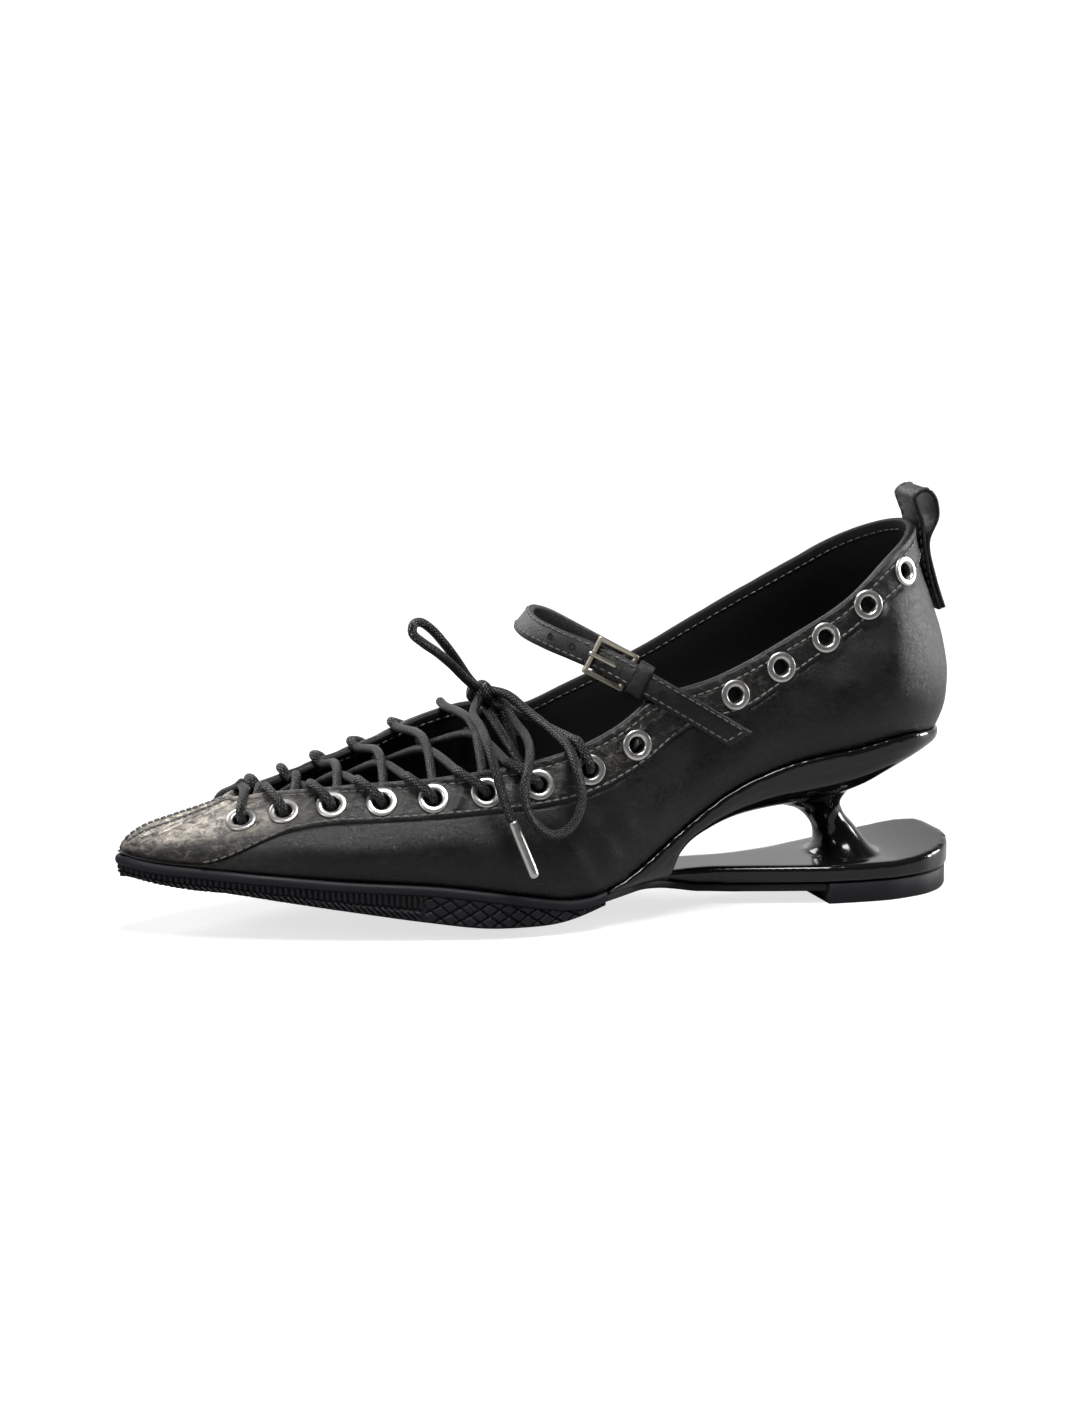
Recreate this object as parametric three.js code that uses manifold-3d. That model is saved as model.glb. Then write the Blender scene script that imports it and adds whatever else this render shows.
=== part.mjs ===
import * as THREE from 'three';
import { mergeVertices } from 'three/addons/utils/BufferGeometryUtils.js';
import Module from 'manifold-3d';

// Left shoe, sizes in millimetres. The toe points to -X, the outer side of the foot to -Y, +Z is up.

// Main sizes of the last
const shoeLength = 258;
const ballWidth = 75;
const seatHeight = 50;
const toplineHeight = 111;
const heelBulge = 5.6;
const seatInset = 5.2;
const throatStart = 33;
const toplineInset = 13;
const noseRadius = 6;
const seatRadius = 26;
const throatRadius = 5;
const toplineRadius = 22;

// Upper
const wall = 1.8;
const bandStep = 0.9;
const stepWidth = 0.5;
const seamHeight = 0.8;
const upperColumns = 34;

// Clearance between pieces that touch
const gap = 0.3;
const featherGap = 0.35;

// Insole
const insoleThickness = 2;
const insoleClearance = 0.7;
const insoleStart = 9;

// Forefoot sole
const rimOut = 1.3;
const rimHeight = 3.4;
const rimRound = 0.8;
const treadOut = 0.5;
const soleEdgeRise = 3.1;
const soleEdgeInset = 14;
const soleChamfer = 0.8;
const soleJoint = 0.5271 * shoeLength;

// Heel unit
const unitOut = 0.8;
const flangeHeight = 4.6;
const plateHeight = 0.236 * seatHeight;
const plateRise = 2.8;
const plateInnerSink = 3;
const plateEnd = 1.0016 * shoeLength;
const waistSoleThickness = 2.3;
const waistSoleInset = 1;
const liftStart = 0.8178 * shoeLength;
const liftInset = 0.5;

// Eyelets
const eyeletHoleRadius = 2.35;
const eyeletBarrelRadius = 2.75;
const eyeletFlangeRadius = 4.5;
const eyeletFlangeHeight = 0.9;
const eyeletInside = 0.6;
const eyeletSides = 8;

// Strap, keeper and buckle
const strapWidth = 7.5;
const strapThickness = 2;
const strapTilt = 60;
const hoopHalfSpan = 0.4133 * ballWidth;
const hoopRise = 32;
const hoopLength = 0.5775 * shoeLength;
const hoopHeight = 74;
const keeperLength = 4.7;
const tailStart = 1.5;
const tailSlant = 5;
const tabFoot = 24;
const tabThickness = 1.2;
const tabNarrowing = 2.5;
const tabShift = 1.2;
const keeperThickness = 1;
const buckleLength = 14;
const buckleWidth = 12.4;
const buckleBar = 2;
const prongRadius = 0.75;

// Pull loop
const loopWidth = 15;
const loopThickness = 1.2;
const loopTop = 122;
const loopHalfWidth = 3.6;

// Lace
const laceDiameter = 2.8;
const laceSides = 8;
const tipDiameter = 3;
const tipLength = 17.5;

// One row for each station from toe (0) to heel (1). Widths are shares of ballWidth, seat and sole
// heights shares of seatHeight, edge heights shares of toplineHeight, belly a share of heelBulge.
// band and hole are places on the way from the feather line (0) up to the top line (1).
const stations = [
  { at: 0.00, axis: 0.080, outer: 0.047, inner: 0.047, seat: 0.496, edgeAxis: 0.080, edge: 0.053,
    edgeOuter: 0.348, edgeInner: 0.348, belly: 0.46, band: 0.03, hole: 0.56, sole: 0.376 },
  { at: 0.04, axis: 0.080, outer: 0.123, inner: 0.123, seat: 0.456, edgeAxis: 0.080, edge: 0.101,
    edgeOuter: 0.366, edgeInner: 0.360, belly: 0.56, band: 0.03, hole: 0.56, sole: 0.306 },
  { at: 0.08, axis: 0.080, outer: 0.197, inner: 0.197, seat: 0.440, edgeAxis: 0.080, edge: 0.167,
    edgeOuter: 0.378, edgeInner: 0.366, belly: 0.67, band: 0.03, hole: 0.64, sole: 0.256 },
  { at: 0.12, axis: 0.080, outer: 0.263, inner: 0.263, seat: 0.420, edgeAxis: 0.080, edge: 0.227,
    edgeOuter: 0.389, edgeInner: 0.378, belly: 0.75, band: 0.46, hole: 0.745, sole: 0.222 },
  { at: 0.16, axis: 0.080, outer: 0.320, inner: 0.320, seat: 0.402, edgeAxis: 0.077, edge: 0.280,
    edgeOuter: 0.399, edgeInner: 0.394, belly: 0.80, band: 0.56, hole: 0.77, sole: 0.182 },
  { at: 0.24, axis: 0.080, outer: 0.413, inner: 0.413, seat: 0.366, edgeAxis: 0.061, edge: 0.360,
    edgeOuter: 0.414, edgeInner: 0.431, belly: 0.80, band: 0.60, hole: 0.79, sole: 0.114 },
  { at: 0.32, axis: 0.064, outer: 0.473, inner: 0.480, seat: 0.340, edgeAxis: 0.039, edge: 0.408,
    edgeOuter: 0.435, edgeInner: 0.485, belly: 0.80, band: 0.62, hole: 0.80, sole: 0.048 },
  { at: 0.40, axis: 0.028, outer: 0.500, inner: 0.493, seat: 0.284, edgeAxis: 0.020, edge: 0.427,
    edgeOuter: 0.461, edgeInner: 0.515, belly: 0.75, band: 0.64, hole: 0.81, sole: 0.000 },
  { at: 0.46, axis: 0.011, outer: 0.493, inner: 0.471, seat: 0.226, edgeAxis: 0.009, edge: 0.435,
    edgeOuter: 0.495, edgeInner: 0.489, belly: 0.71, band: 0.66, hole: 0.825, sole: 0.000 },
  { at: 0.49, axis: 0.005, outer: 0.480, inner: 0.451, seat: 0.204, edgeAxis: 0.004, edge: 0.433,
    edgeOuter: 0.523, edgeInner: 0.509, belly: 0.67, band: 0.67, hole: 0.825, sole: 0.026 },
  { at: 0.52, axis: 0.001, outer: 0.461, inner: 0.427, seat: 0.224, edgeAxis: 0.000, edge: 0.431,
    edgeOuter: 0.550, edgeInner: 0.536, belly: 0.64, band: 0.68, hole: 0.815, sole: 0.072 },
  { at: 0.55, axis: 0.000, outer: 0.443, inner: 0.400, seat: 0.284, edgeAxis: 0.000, edge: 0.417,
    edgeOuter: 0.599, edgeInner: 0.561, belly: 0.62, band: 0.66, hole: 0.81, sole: 0.124 },
  { at: 0.58, axis: 0.000, outer: 0.424, inner: 0.373, seat: 0.384, edgeAxis: 0.000, edge: 0.403,
    edgeOuter: 0.614, edgeInner: 0.587, belly: 0.62, band: 0.69, hole: 0.81, sole: 0.138 },
  { at: 0.61, axis: 0.000, outer: 0.408, inner: 0.353, seat: 0.500, edgeAxis: 0.000, edge: 0.389,
    edgeOuter: 0.624, edgeInner: 0.613, belly: 0.62, band: 0.75, hole: 0.81, sole: 0.128 },
  { at: 0.64, axis: 0.000, outer: 0.393, inner: 0.337, seat: 0.608, edgeAxis: 0.000, edge: 0.376,
    edgeOuter: 0.633, edgeInner: 0.640, belly: 0.62, band: 0.73, hole: 0.81, sole: 0.108 },
  { at: 0.70, axis: 0.000, outer: 0.368, inner: 0.323, seat: 0.784, edgeAxis: 0.000, edge: 0.359,
    edgeOuter: 0.672, edgeInner: 0.703, belly: 0.64, band: 0.64, hole: 0.81, sole: 0.086 },
  { at: 0.78, axis: 0.000, outer: 0.352, inner: 0.331, seat: 0.906, edgeAxis: 0.000, edge: 0.336,
    edgeOuter: 0.742, edgeInner: 0.786, belly: 0.71, band: 0.72, hole: 0.845, sole: 0.086 },
  { at: 0.86, axis: 0.000, outer: 0.349, inner: 0.347, seat: 0.964, edgeAxis: 0.000, edge: 0.312,
    edgeOuter: 0.820, edgeInner: 0.865, belly: 0.89, band: 0.79, hole: 0.88, sole: 0.086 },
  { at: 0.93, axis: 0.000, outer: 0.341, inner: 0.341, seat: 1.020, edgeAxis: 0.000, edge: 0.288,
    edgeOuter: 0.928, edgeInner: 0.935, belly: 1.05, band: 0.81, hole: 0.88, sole: 0.086 },
  { at: 1.00, axis: 0.000, outer: 0.333, inner: 0.333, seat: 0.994, edgeAxis: 0.000, edge: 0.267,
    edgeOuter: 1.000, edgeInner: 1.000, belly: 1.00, band: 0.85, hole: 0.88, sole: 0.086 },
];

// Foot plate of the heel unit: at is a share of shoeLength, outer and inner are the two edges as
// shares of ballWidth from the middle line, base the underside as a share of plateHeight.
const plateRows = [
  { at: 0.529, outer: 0.447, inner: 0.413, base: 0.900 },
  { at: 0.550, outer: 0.407, inner: 0.360, base: 0.932 },
  { at: 0.581, outer: 0.333, inner: 0.267, base: 0.949 },
  { at: 0.612, outer: 0.260, inner: 0.173, base: 0.864 },
  { at: 0.643, outer: 0.207, inner: 0.100, base: 0.712 },
  { at: 0.674, outer: 0.197, inner: 0.060, base: 0.593 },
  { at: 0.717, outer: 0.231, inner: 0.053, base: 0.559 },
  { at: 0.775, outer: 0.293, inner: 0.093, base: 0.559 },
  { at: 0.829, outer: 0.340, inner: 0.173, base: 0.559 },
  { at: 0.884, outer: 0.351, inner: 0.260, base: 0.559 },
  { at: 0.930, outer: 0.317, inner: 0.313, base: 0.559 },
  { at: 0.965, outer: 0.247, inner: 0.324, base: 0.559 },
  { at: 0.990, outer: 0.133, inner: 0.293, base: 0.559 },
  { at: 1.000, outer: 0.027, inner: 0.240, base: 0.559 },
  { at: 1.004, outer: -0.093, inner: 0.120, base: 0.559 },
];

// Underside of the seat on its middle line: at is a share of shoeLength, hull a share of seatHeight,
// keel the half width of the flat middle as a share of ballWidth.
const hullRows = [
  { at: 0.617, hull: 0.180, keel: 0.150 },
  { at: 0.625, hull: 0.330, keel: 0.130 },
  { at: 0.640, hull: 0.420, keel: 0.110 },
  { at: 0.672, hull: 0.492, keel: 0.090 },
  { at: 0.715, hull: 0.545, keel: 0.080 },
  { at: 0.760, hull: 0.572, keel: 0.080 },
  { at: 0.798, hull: 0.585, keel: 0.080 },
  { at: 0.833, hull: 0.610, keel: 0.080 },
  { at: 0.868, hull: 0.660, keel: 0.075 },
  { at: 0.899, hull: 0.750, keel: 0.070 },
  { at: 0.930, hull: 0.855, keel: 0.060 },
  { at: 0.955, hull: 0.905, keel: 0.040 },
  { at: 0.980, hull: 0.900, keel: 0.000 },
];

// Column of the heel unit: up is a share of seatHeight, at of shoeLength, across, long and wide
// (place of the middle and the two half widths) of ballWidth.
const columnRows = [
  { up: 0.220, at: 0.848, across: -0.080, long: 0.172, wide: 0.182 },
  { up: 0.248, at: 0.848, across: -0.078, long: 0.166, wide: 0.176 },
  { up: 0.280, at: 0.849, across: -0.074, long: 0.142, wide: 0.156 },
  { up: 0.330, at: 0.851, across: -0.067, long: 0.114, wide: 0.130 },
  { up: 0.400, at: 0.847, across: -0.060, long: 0.092, wide: 0.112 },
  { up: 0.460, at: 0.840, across: -0.053, long: 0.086, wide: 0.107 },
  { up: 0.520, at: 0.833, across: -0.047, long: 0.098, wide: 0.120 },
  { up: 0.566, at: 0.823, across: -0.040, long: 0.136, wide: 0.153 },
  { up: 0.610, at: 0.813, across: -0.033, long: 0.180, wide: 0.200 },
  { up: 0.680, at: 0.818, across: -0.027, long: 0.220, wide: 0.240 },
];

// Strap from the end of its tail over the instep to the inner side, in the plane of its hoop:
// across is a share of hoopHalfSpan, rise a share of hoopRise.
const strapRows = [
  { across: -1.100, rise: -1.150 },
  { across: -1.130, rise: -0.800 },
  { across: -1.110, rise: -0.400 },
  { across: -0.970, rise: 0.000 },
  { across: -0.790, rise: 0.270 },
  { across: -0.460, rise: 0.700 },
  { across: 0.030, rise: 0.960 },
  { across: 0.420, rise: 0.880 },
  { across: 0.760, rise: 0.480 },
  { across: 0.985, rise: 0.050 },
  { across: 1.110, rise: -0.350 },
  { across: 1.120, rise: -0.700 },
];

// Smooth curve through one column of a table, without overshoot
function column(rows, place, value) {
  const x = rows.map((row) => row[place]);
  const y = rows.map((row) => row[value]);
  const last = x.length - 1;
  const rate = x.slice(1).map((end, i) => (y[i + 1] - y[i]) / (end - x[i]));
  const slope = x.map((_, i) => {
    if (i === 0) return rate[0];
    if (i === last) return rate[last - 1];
    const product = rate[i - 1] * rate[i];
    return product <= 0 ? 0 : (2 * product) / (rate[i - 1] + rate[i]);
  });
  return (at) => {
    const clamped = Math.min(Math.max(at, x[0]), x[last]);
    let i = 0;
    while (i < last - 1 && clamped > x[i + 1]) i += 1;
    const step = x[i + 1] - x[i];
    const s = (clamped - x[i]) / step;
    const a = (1 + 2 * s) * (1 - s) * (1 - s);
    const b = s * (1 - s) * (1 - s);
    const c = s * s * (3 - 2 * s);
    const d = s * s * (s - 1);
    return a * y[i] + b * step * slope[i] + c * y[i + 1] + d * step * slope[i + 1];
  };
}

function columns(rows, place) {
  const names = Object.keys(rows[0]).filter((name) => name !== place);
  return Object.fromEntries(names.map((name) => [name, column(rows, place, name)]));
}

const last = columns(stations, 'at');
const plate = columns(plateRows, 'at');
const hull = columns(hullRows, 'at');

// Quarter circle that closes an outline at its ends
function roundEnd(share) {
  const s = Math.min(Math.max(share, 0), 1);
  return Math.sqrt(1 - (1 - s) * (1 - s));
}

// Places along the shoe: way runs evenly from toe (0) to heel (1), close together at both ends
const stationOf = (way) => (1 - Math.cos(Math.PI * way)) / 2;
const wayOf = (station) => Math.acos(1 - 2 * station) / Math.PI;
const seatPlace = (t) => shoeLength * t - seatInset * t ** 6;
const seatWay = (length) => {
  let t = length / shoeLength;
  for (let i = 0; i < 8; i += 1) t += (length - seatPlace(t)) / shoeLength;
  return wayOf(Math.min(t, 1));
};

// Point of the feather line, where the upper meets the sole. side is -1 outside and 1 inside.
function feather(way, side) {
  const t = stationOf(way);
  const ends = roundEnd((shoeLength * t) / noseRadius) * roundEnd((shoeLength * (1 - t)) / seatRadius);
  const half = (side < 0 ? last.outer(t) : last.inner(t)) * ballWidth * ends;
  const y = last.axis(t) * ballWidth + side * half;
  return new THREE.Vector3(seatPlace(t), y, last.seat(t) * seatHeight);
}

// Point of the top line around throat and collar
function topline(way, side) {
  const t = stationOf(way);
  const length = shoeLength - throatStart - toplineInset;
  const ends = roundEnd((length * t) / throatRadius) * roundEnd((length * (1 - t)) / toplineRadius);
  const y = last.edgeAxis(t) * ballWidth + side * last.edge(t) * ballWidth * ends;
  const share = side < 0 ? last.edgeOuter(t) : last.edgeInner(t);
  return new THREE.Vector3(throatStart + length * t, y, share * toplineHeight);
}

// Level direction that points out of the feather line
function outward(way, side) {
  if (way <= 0) return new THREE.Vector3(-1, 0, 0);
  if (way >= 1) return new THREE.Vector3(1, 0, 0);
  const reach = 0.001;
  const before = feather(Math.max(way - reach, 0), side);
  const after = feather(Math.min(way + reach, 1), side);
  const run = after.sub(before);
  return new THREE.Vector3(-side * run.y, side * run.x, 0).normalize();
}

// Belly of a section: none at both ends, most at a third of the way up
const bellyShape = (k) => (k * (1 - k) * (1 - k) * 27) / 4;

// Skin of the last: a straight line from feather line to top line, with its belly outward
function skin(way, side, k) {
  const low = feather(way, side);
  const chord = topline(way, side).sub(low);
  const along = chord.clone().normalize();
  const out = outward(way, side);
  out.addScaledVector(along, -out.dot(along)).normalize();
  const belly = last.belly(stationOf(way)) * heelBulge * bellyShape(k);
  return low.addScaledVector(chord, k).addScaledVector(out, belly);
}

function skinNormal(way, side, k) {
  const reach = 0.002;
  const up = skin(way, side, Math.min(k + reach, 1)).sub(skin(way, side, Math.max(k - reach, 0)));
  let run;
  if (way < reach) run = skin(reach, side, k).sub(skin(reach, -side, k));
  else if (way > 1 - reach) run = skin(1 - reach, -side, k).sub(skin(1 - reach, side, k));
  else run = skin(way + reach, side, k).sub(skin(way - reach, side, k));
  const normal = new THREE.Vector3().crossVectors(up, run).normalize();
  return normal.multiplyScalar(side < 0 ? -1 : 1);
}

const lifted = (way, side, k, lift) => skin(way, side, k).addScaledVector(skinNormal(way, side, k), lift);

// Closed mesh from points and triangles: welded, flat triangles dropped, turned outward
function solidGeometry(points, triangles) {
  const flat = points.flatMap((p) => [p.x, p.y, p.z]);
  let geometry = new THREE.BufferGeometry();
  geometry.setAttribute('position', new THREE.Float32BufferAttribute(flat, 3));
  geometry.setIndex(triangles.flat());
  geometry = mergeVertices(geometry, 0.001);
  const index = geometry.index.array;
  const position = geometry.attributes.position;
  const kept = [];
  let volume = 0;
  const [a, b, c] = [new THREE.Vector3(), new THREE.Vector3(), new THREE.Vector3()];
  for (let i = 0; i < index.length; i += 3) {
    const [p, q, r] = [index[i], index[i + 1], index[i + 2]];
    if (p === q || q === r || r === p) continue;
    kept.push([p, q, r]);
    a.fromBufferAttribute(position, p);
    b.fromBufferAttribute(position, q);
    c.fromBufferAttribute(position, r);
    volume += a.dot(b.cross(c));
  }
  geometry.setIndex(kept.flatMap(([p, q, r]) => (volume < 0 ? [p, r, q] : [p, q, r])));
  return geometry;
}

// Loft through closed loops with the same number of points. ring joins the last loop to the first.
function loft(loops, ring = false) {
  const count = loops[0].length;
  const points = loops.flat();
  const triangles = [];
  const spans = ring ? loops.length : loops.length - 1;
  for (let r = 0; r < spans; r += 1) {
    const next = (r + 1) % loops.length;
    for (let i = 0; i < count; i += 1) {
      const j = (i + 1) % count;
      triangles.push([r * count + i, r * count + j, next * count + j]);
      triangles.push([r * count + i, next * count + j, next * count + i]);
    }
  }
  if (!ring) {
    [0, loops.length - 1].forEach((r, end) => {
      const middle = new THREE.Vector3();
      loops[r].forEach((p) => middle.add(p));
      points.push(middle.divideScalar(count));
      for (let i = 0; i < count; i += 1) {
        const pair = [r * count + i, r * count + ((i + 1) % count)];
        triangles.push(end === 0 ? [points.length - 1, pair[1], pair[0]] : [points.length - 1, ...pair]);
      }
    });
  }
  return solidGeometry(points, triangles);
}

// Booleans
const wasm = await Module();
wasm.setup();

function toSolid(geometry) {
  const bare = new THREE.BufferGeometry();
  bare.setAttribute('position', geometry.attributes.position.clone());
  if (geometry.index) bare.setIndex(geometry.index.clone());
  const welded = mergeVertices(bare, 0.001);
  const vertProperties = new Float32Array(welded.attributes.position.array);
  const triVerts = new Uint32Array(welded.index.array);
  return new wasm.Manifold(new wasm.Mesh({ numProp: 3, vertProperties, triVerts }));
}

function fromSolid(solid) {
  const mesh = solid.getMesh();
  const geometry = new THREE.BufferGeometry();
  geometry.setAttribute('position', new THREE.BufferAttribute(new Float32Array(mesh.vertProperties), 3));
  geometry.setIndex(new THREE.BufferAttribute(new Uint32Array(mesh.triVerts), 1));
  return geometry;
}

const place = (geometry, matrix) => geometry.clone().applyMatrix4(matrix);

// Frame with Z along the given normal
function frameAt(point, normal, along) {
  const z = normal.clone().normalize();
  const x = along.clone().addScaledVector(z, -along.dot(z)).normalize();
  const y = new THREE.Vector3().crossVectors(z, x);
  return new THREE.Matrix4().makeBasis(x, y, z).setPosition(point);
}

// Flat band of leather along a path: normals face away from the foot
function ribbon(path, normals, across, width, thickness, slant = 0) {
  const start = path[1].clone().sub(path[0]).normalize();
  const loops = path.map((point, i) => {
    const corner = (side, face) => point.clone()
      .addScaledVector(start, i === 0 ? (-side * slant) / 2 : 0)
      .addScaledVector(across[i], (side * width) / 2)
      .addScaledVector(normals[i], (face * thickness) / 2);
    return [corner(-1, 1), corner(1, 1), corner(1, -1), corner(-1, -1)];
  });
  return loft(loops);
}

// Round cord with one ring at each chosen point
function cord(points, diameter, sides = laceSides) {
  const count = points.length;
  const tangents = points.map((_, i) => points[Math.min(i + 1, count - 1)].clone()
    .sub(points[Math.max(i - 1, 0)]).normalize());
  let normal = new THREE.Vector3(0, 0, 1);
  if (Math.abs(tangents[0].z) > 0.9) normal = new THREE.Vector3(1, 0, 0);
  const rings = points.map((point, i) => {
    const before = tangents[Math.max(i - 1, 0)];
    normal.applyQuaternion(new THREE.Quaternion().setFromUnitVectors(before, tangents[i]));
    normal.addScaledVector(tangents[i], -normal.dot(tangents[i])).normalize();
    const across = new THREE.Vector3().crossVectors(tangents[i], normal);
    return Array.from({ length: sides }, (_, n) => {
      const angle = (2 * Math.PI * n) / sides;
      return point.clone()
        .addScaledVector(normal, (Math.cos(angle) * diameter) / 2)
        .addScaledVector(across, (Math.sin(angle) * diameter) / 2);
    });
  });
  return loft(rings);
}

// Materials
const finish = (color, roughness, metalness) =>
  new THREE.MeshStandardMaterial({ color, roughness, metalness });
const leather = finish(0x17171a, 0.42, 0.0);
const lining = finish(0x0b0b0c, 0.8, 0.0);
const rubber = finish(0x26272b, 0.85, 0.0);
const gloss = finish(0x08080a, 0.12, 0.0);
const nickel = finish(0xc9c6c0, 0.25, 1.0);
const waxed = finish(0x121213, 0.55, 0.0);

const group = new THREE.Group();

function add(name, geometry, material) {
  const mesh = new THREE.Mesh(geometry, material);
  mesh.name = name;
  group.add(mesh);
  return mesh;
}

// Both sides in one loop: down the outer side from toe to heel and back along the inner side
function aroundShoe(count) {
  const outerSide = Array.from({ length: count + 1 }, (_, i) => [i / count, -1]);
  const innerSide = Array.from({ length: count - 1 }, (_, i) => [(count - 1 - i) / count, 1]);
  return [...outerSide, ...innerSide];
}

// Upper: one hollow shell between feather line and top line. The band with the eyelets and the toe
// stand proud by bandStep, and the seam over the toe is a ridge.
function upperShell() {
  const around = aroundShoe(upperColumns);
  const lower = [0, 0.3, 0.65];
  const row = (kOf, liftOf) => around.map(([way, side]) => lifted(way, side, kOf(way), liftOf(way)));
  const band = (way) => last.band(stationOf(way));
  const rise = (way) => {
    const run = skin(way, -1, 1).distanceTo(skin(way, -1, 0));
    return Math.min(stepWidth / run, 0.5 * band(way));
  };
  const seam = (way) => (way <= 0 ? seamHeight : 0);
  const outerRows = lower.map((share) => row((way) => share * (band(way) - rise(way)), () => 0));
  outerRows[0] = around.map(([way, side]) => feather(way, side));
  outerRows.push(row((way) => band(way) - rise(way), () => 0));
  outerRows.push(row(band, (way) => bandStep + seam(way)));
  outerRows.push(row((way) => (band(way) + 1) / 2, (way) => bandStep + seam(way)));
  outerRows.push(row(() => 1, () => bandStep));
  const innerRows = [1, 0.75, 0.45, 0.2].map((k) => row(() => k, () => -wall));
  innerRows.push(around.map(([way, side]) => feather(way, side).addScaledVector(outward(way, side), -wall)));
  return loft([...outerRows, ...innerRows], true);
}

// Plane that an eyelet's flange rests on: level with the highest point under its edge
function flangeSeat(way, side, k) {
  const face = lifted(way, side, k, bandStep);
  const around = 0.01;
  const perWay = lifted(way + around, side, k, bandStep).distanceTo(face) / around;
  const perK = lifted(way, side, k - around, bandStep).distanceTo(face) / around;
  const [dWay, dK] = [eyeletFlangeRadius / perWay, Math.min(eyeletFlangeRadius / perK, 1 - k)];
  const [back, front] = [-1, 1].map((sign) => lifted(way + sign * dWay, side, k, bandStep));
  const [below, above] = [-1, 1].map((sign) => lifted(way, side, k + sign * dK, bandStep));
  const [up, run] = [above.clone().sub(below), front.clone().sub(back)];
  const normal = new THREE.Vector3().crossVectors(up, run).normalize().multiplyScalar(side < 0 ? -1 : 1);
  const corners = [[-1, -1], [-1, 1], [1, -1], [1, 1]].map(([a, b]) =>
    lifted(way + 0.75 * a * dWay, side, k + 0.75 * b * dK, bandStep));
  const rises = [back, front, below, above, ...corners].map((point) => point.sub(face).dot(normal));
  face.addScaledVector(normal, Math.max(0, ...rises));
  return { face, normal };
}

// Eyelet places: spaced evenly along the band between the first and the last of each row
function eyeletPlaces(side, { from, to, count, spread }) {
  const [start, end] = [wayOf(from), wayOf(to)];
  const steps = 200;
  const ways = Array.from({ length: steps + 1 }, (_, i) => start + ((end - start) * i) / steps);
  const points = ways.map((way) => skin(way, side, last.hole(stationOf(way))));
  const lengths = [0];
  points.slice(1).forEach((point, i) => lengths.push(lengths[i] + point.distanceTo(points[i])));
  return Array.from({ length: count }, (_, n) => {
    const target = lengths[lengths.length - 1] * (n / (count - 1)) ** spread;
    let i = 1;
    while (i < lengths.length - 1 && lengths[i] < target) i += 1;
    const share = (target - lengths[i - 1]) / (lengths[i] - lengths[i - 1]);
    const way = ways[i - 1] + (ways[i] - ways[i - 1]) * share;
    const k = last.hole(stationOf(way));
    const { face, normal } = flangeSeat(way, side, k);
    return { way, side, k, face, normal, matrix: frameAt(face, normal, new THREE.Vector3(1, 0, 0)) };
  });
}

const frontRow = { from: 0.061, to: 0.538, count: 9, spread: 1.08 };
const rearRow = { from: 0.686, to: 0.950, count: 5, spread: 1 };
const eyelets = Object.fromEntries([['outer', -1], ['inner', 1]].map(([name, side]) => [name, [
  ...eyeletPlaces(side, frontRow),
  ...eyeletPlaces(side, rearRow),
]]));

// Eyelet: turned ring with its flange on the outer face, Z points away from the foot
function eyeletGeometry() {
  const bottom = -(wall + bandStep + eyeletInside);
  const profile = [
    [eyeletHoleRadius, bottom],
    [eyeletBarrelRadius, bottom],
    [eyeletBarrelRadius, gap],
    [eyeletFlangeRadius, gap],
    [eyeletHoleRadius, gap + eyeletFlangeHeight],
    [eyeletHoleRadius, bottom],
  ];
  const points = profile.map(([r, z]) => new THREE.Vector2(r, z));
  return new THREE.LatheGeometry(points, eyeletSides).rotateX(Math.PI / 2);
}

function cutHoles(shell) {
  const depth = 4 * (wall + bandStep);
  const drillRadius = eyeletBarrelRadius + gap;
  const drill = new THREE.CylinderGeometry(drillRadius, drillRadius, depth, eyeletSides);
  drill.rotateX(Math.PI / 2);
  const pressRadius = eyeletFlangeRadius + gap;
  const seat = new THREE.CylinderGeometry(pressRadius, pressRadius, wall, eyeletSides);
  seat.rotateX(Math.PI / 2).translate(0, 0, wall / 2);
  let solid = toSolid(shell);
  [...eyelets.outer, ...eyelets.inner].forEach(({ matrix }) => {
    solid = solid.subtract(toSolid(place(drill, matrix))).subtract(toSolid(place(seat, matrix)));
  });
  return fromSolid(solid);
}

// Section points of a sole piece: each row gives how far it lies outside the feather line and its height
function soleLoop(way, rows) {
  const side = (sign) => rows(way).map(([out, z]) => {
    const base = feather(way, sign);
    const middle = last.axis(stationOf(way)) * ballWidth;
    const inset = Math.min(-out, 0.8 * Math.abs(base.y - middle));
    const point = base.clone().addScaledVector(outward(way, sign), out < 0 ? -inset : out);
    return point.setZ(z);
  });
  return [...side(-1), ...side(1).reverse()];
}

const waysBetween = (from, to) => {
  const inner = Array.from({ length: upperColumns - 1 }, (_, i) => (i + 1) / upperColumns);
  return [from, ...inner.filter((way) => way > from + 0.008 && way < to - 0.008), to];
};

// Insole: stays clear of the wall, also where the wall leans inward over the toe
function insoleGeometry() {
  const edge = (way, side) => {
    const base = feather(way, side);
    const out = outward(way, side);
    const k = (insoleThickness + gap) / (topline(way, side).z - base.z);
    const lean = Math.max(0, base.clone().sub(skin(way, side, k)).dot(out));
    const facing = Math.max(0.3, Math.min(1, skinNormal(way, side, k).dot(out)));
    return base.addScaledVector(out, -lean - (wall + insoleClearance) / facing);
  };
  return loft(waysBetween(seatWay(insoleStart), 1).map((way) => {
    const [outer, inner] = [edge(way, -1), edge(way, 1)];
    const [low, high] = [gap, gap + insoleThickness];
    return [[outer, low], [outer, high], [inner, high], [inner, low]].map(
      ([point, lift]) => point.clone().setZ(point.z + lift));
  }));
}

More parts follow.
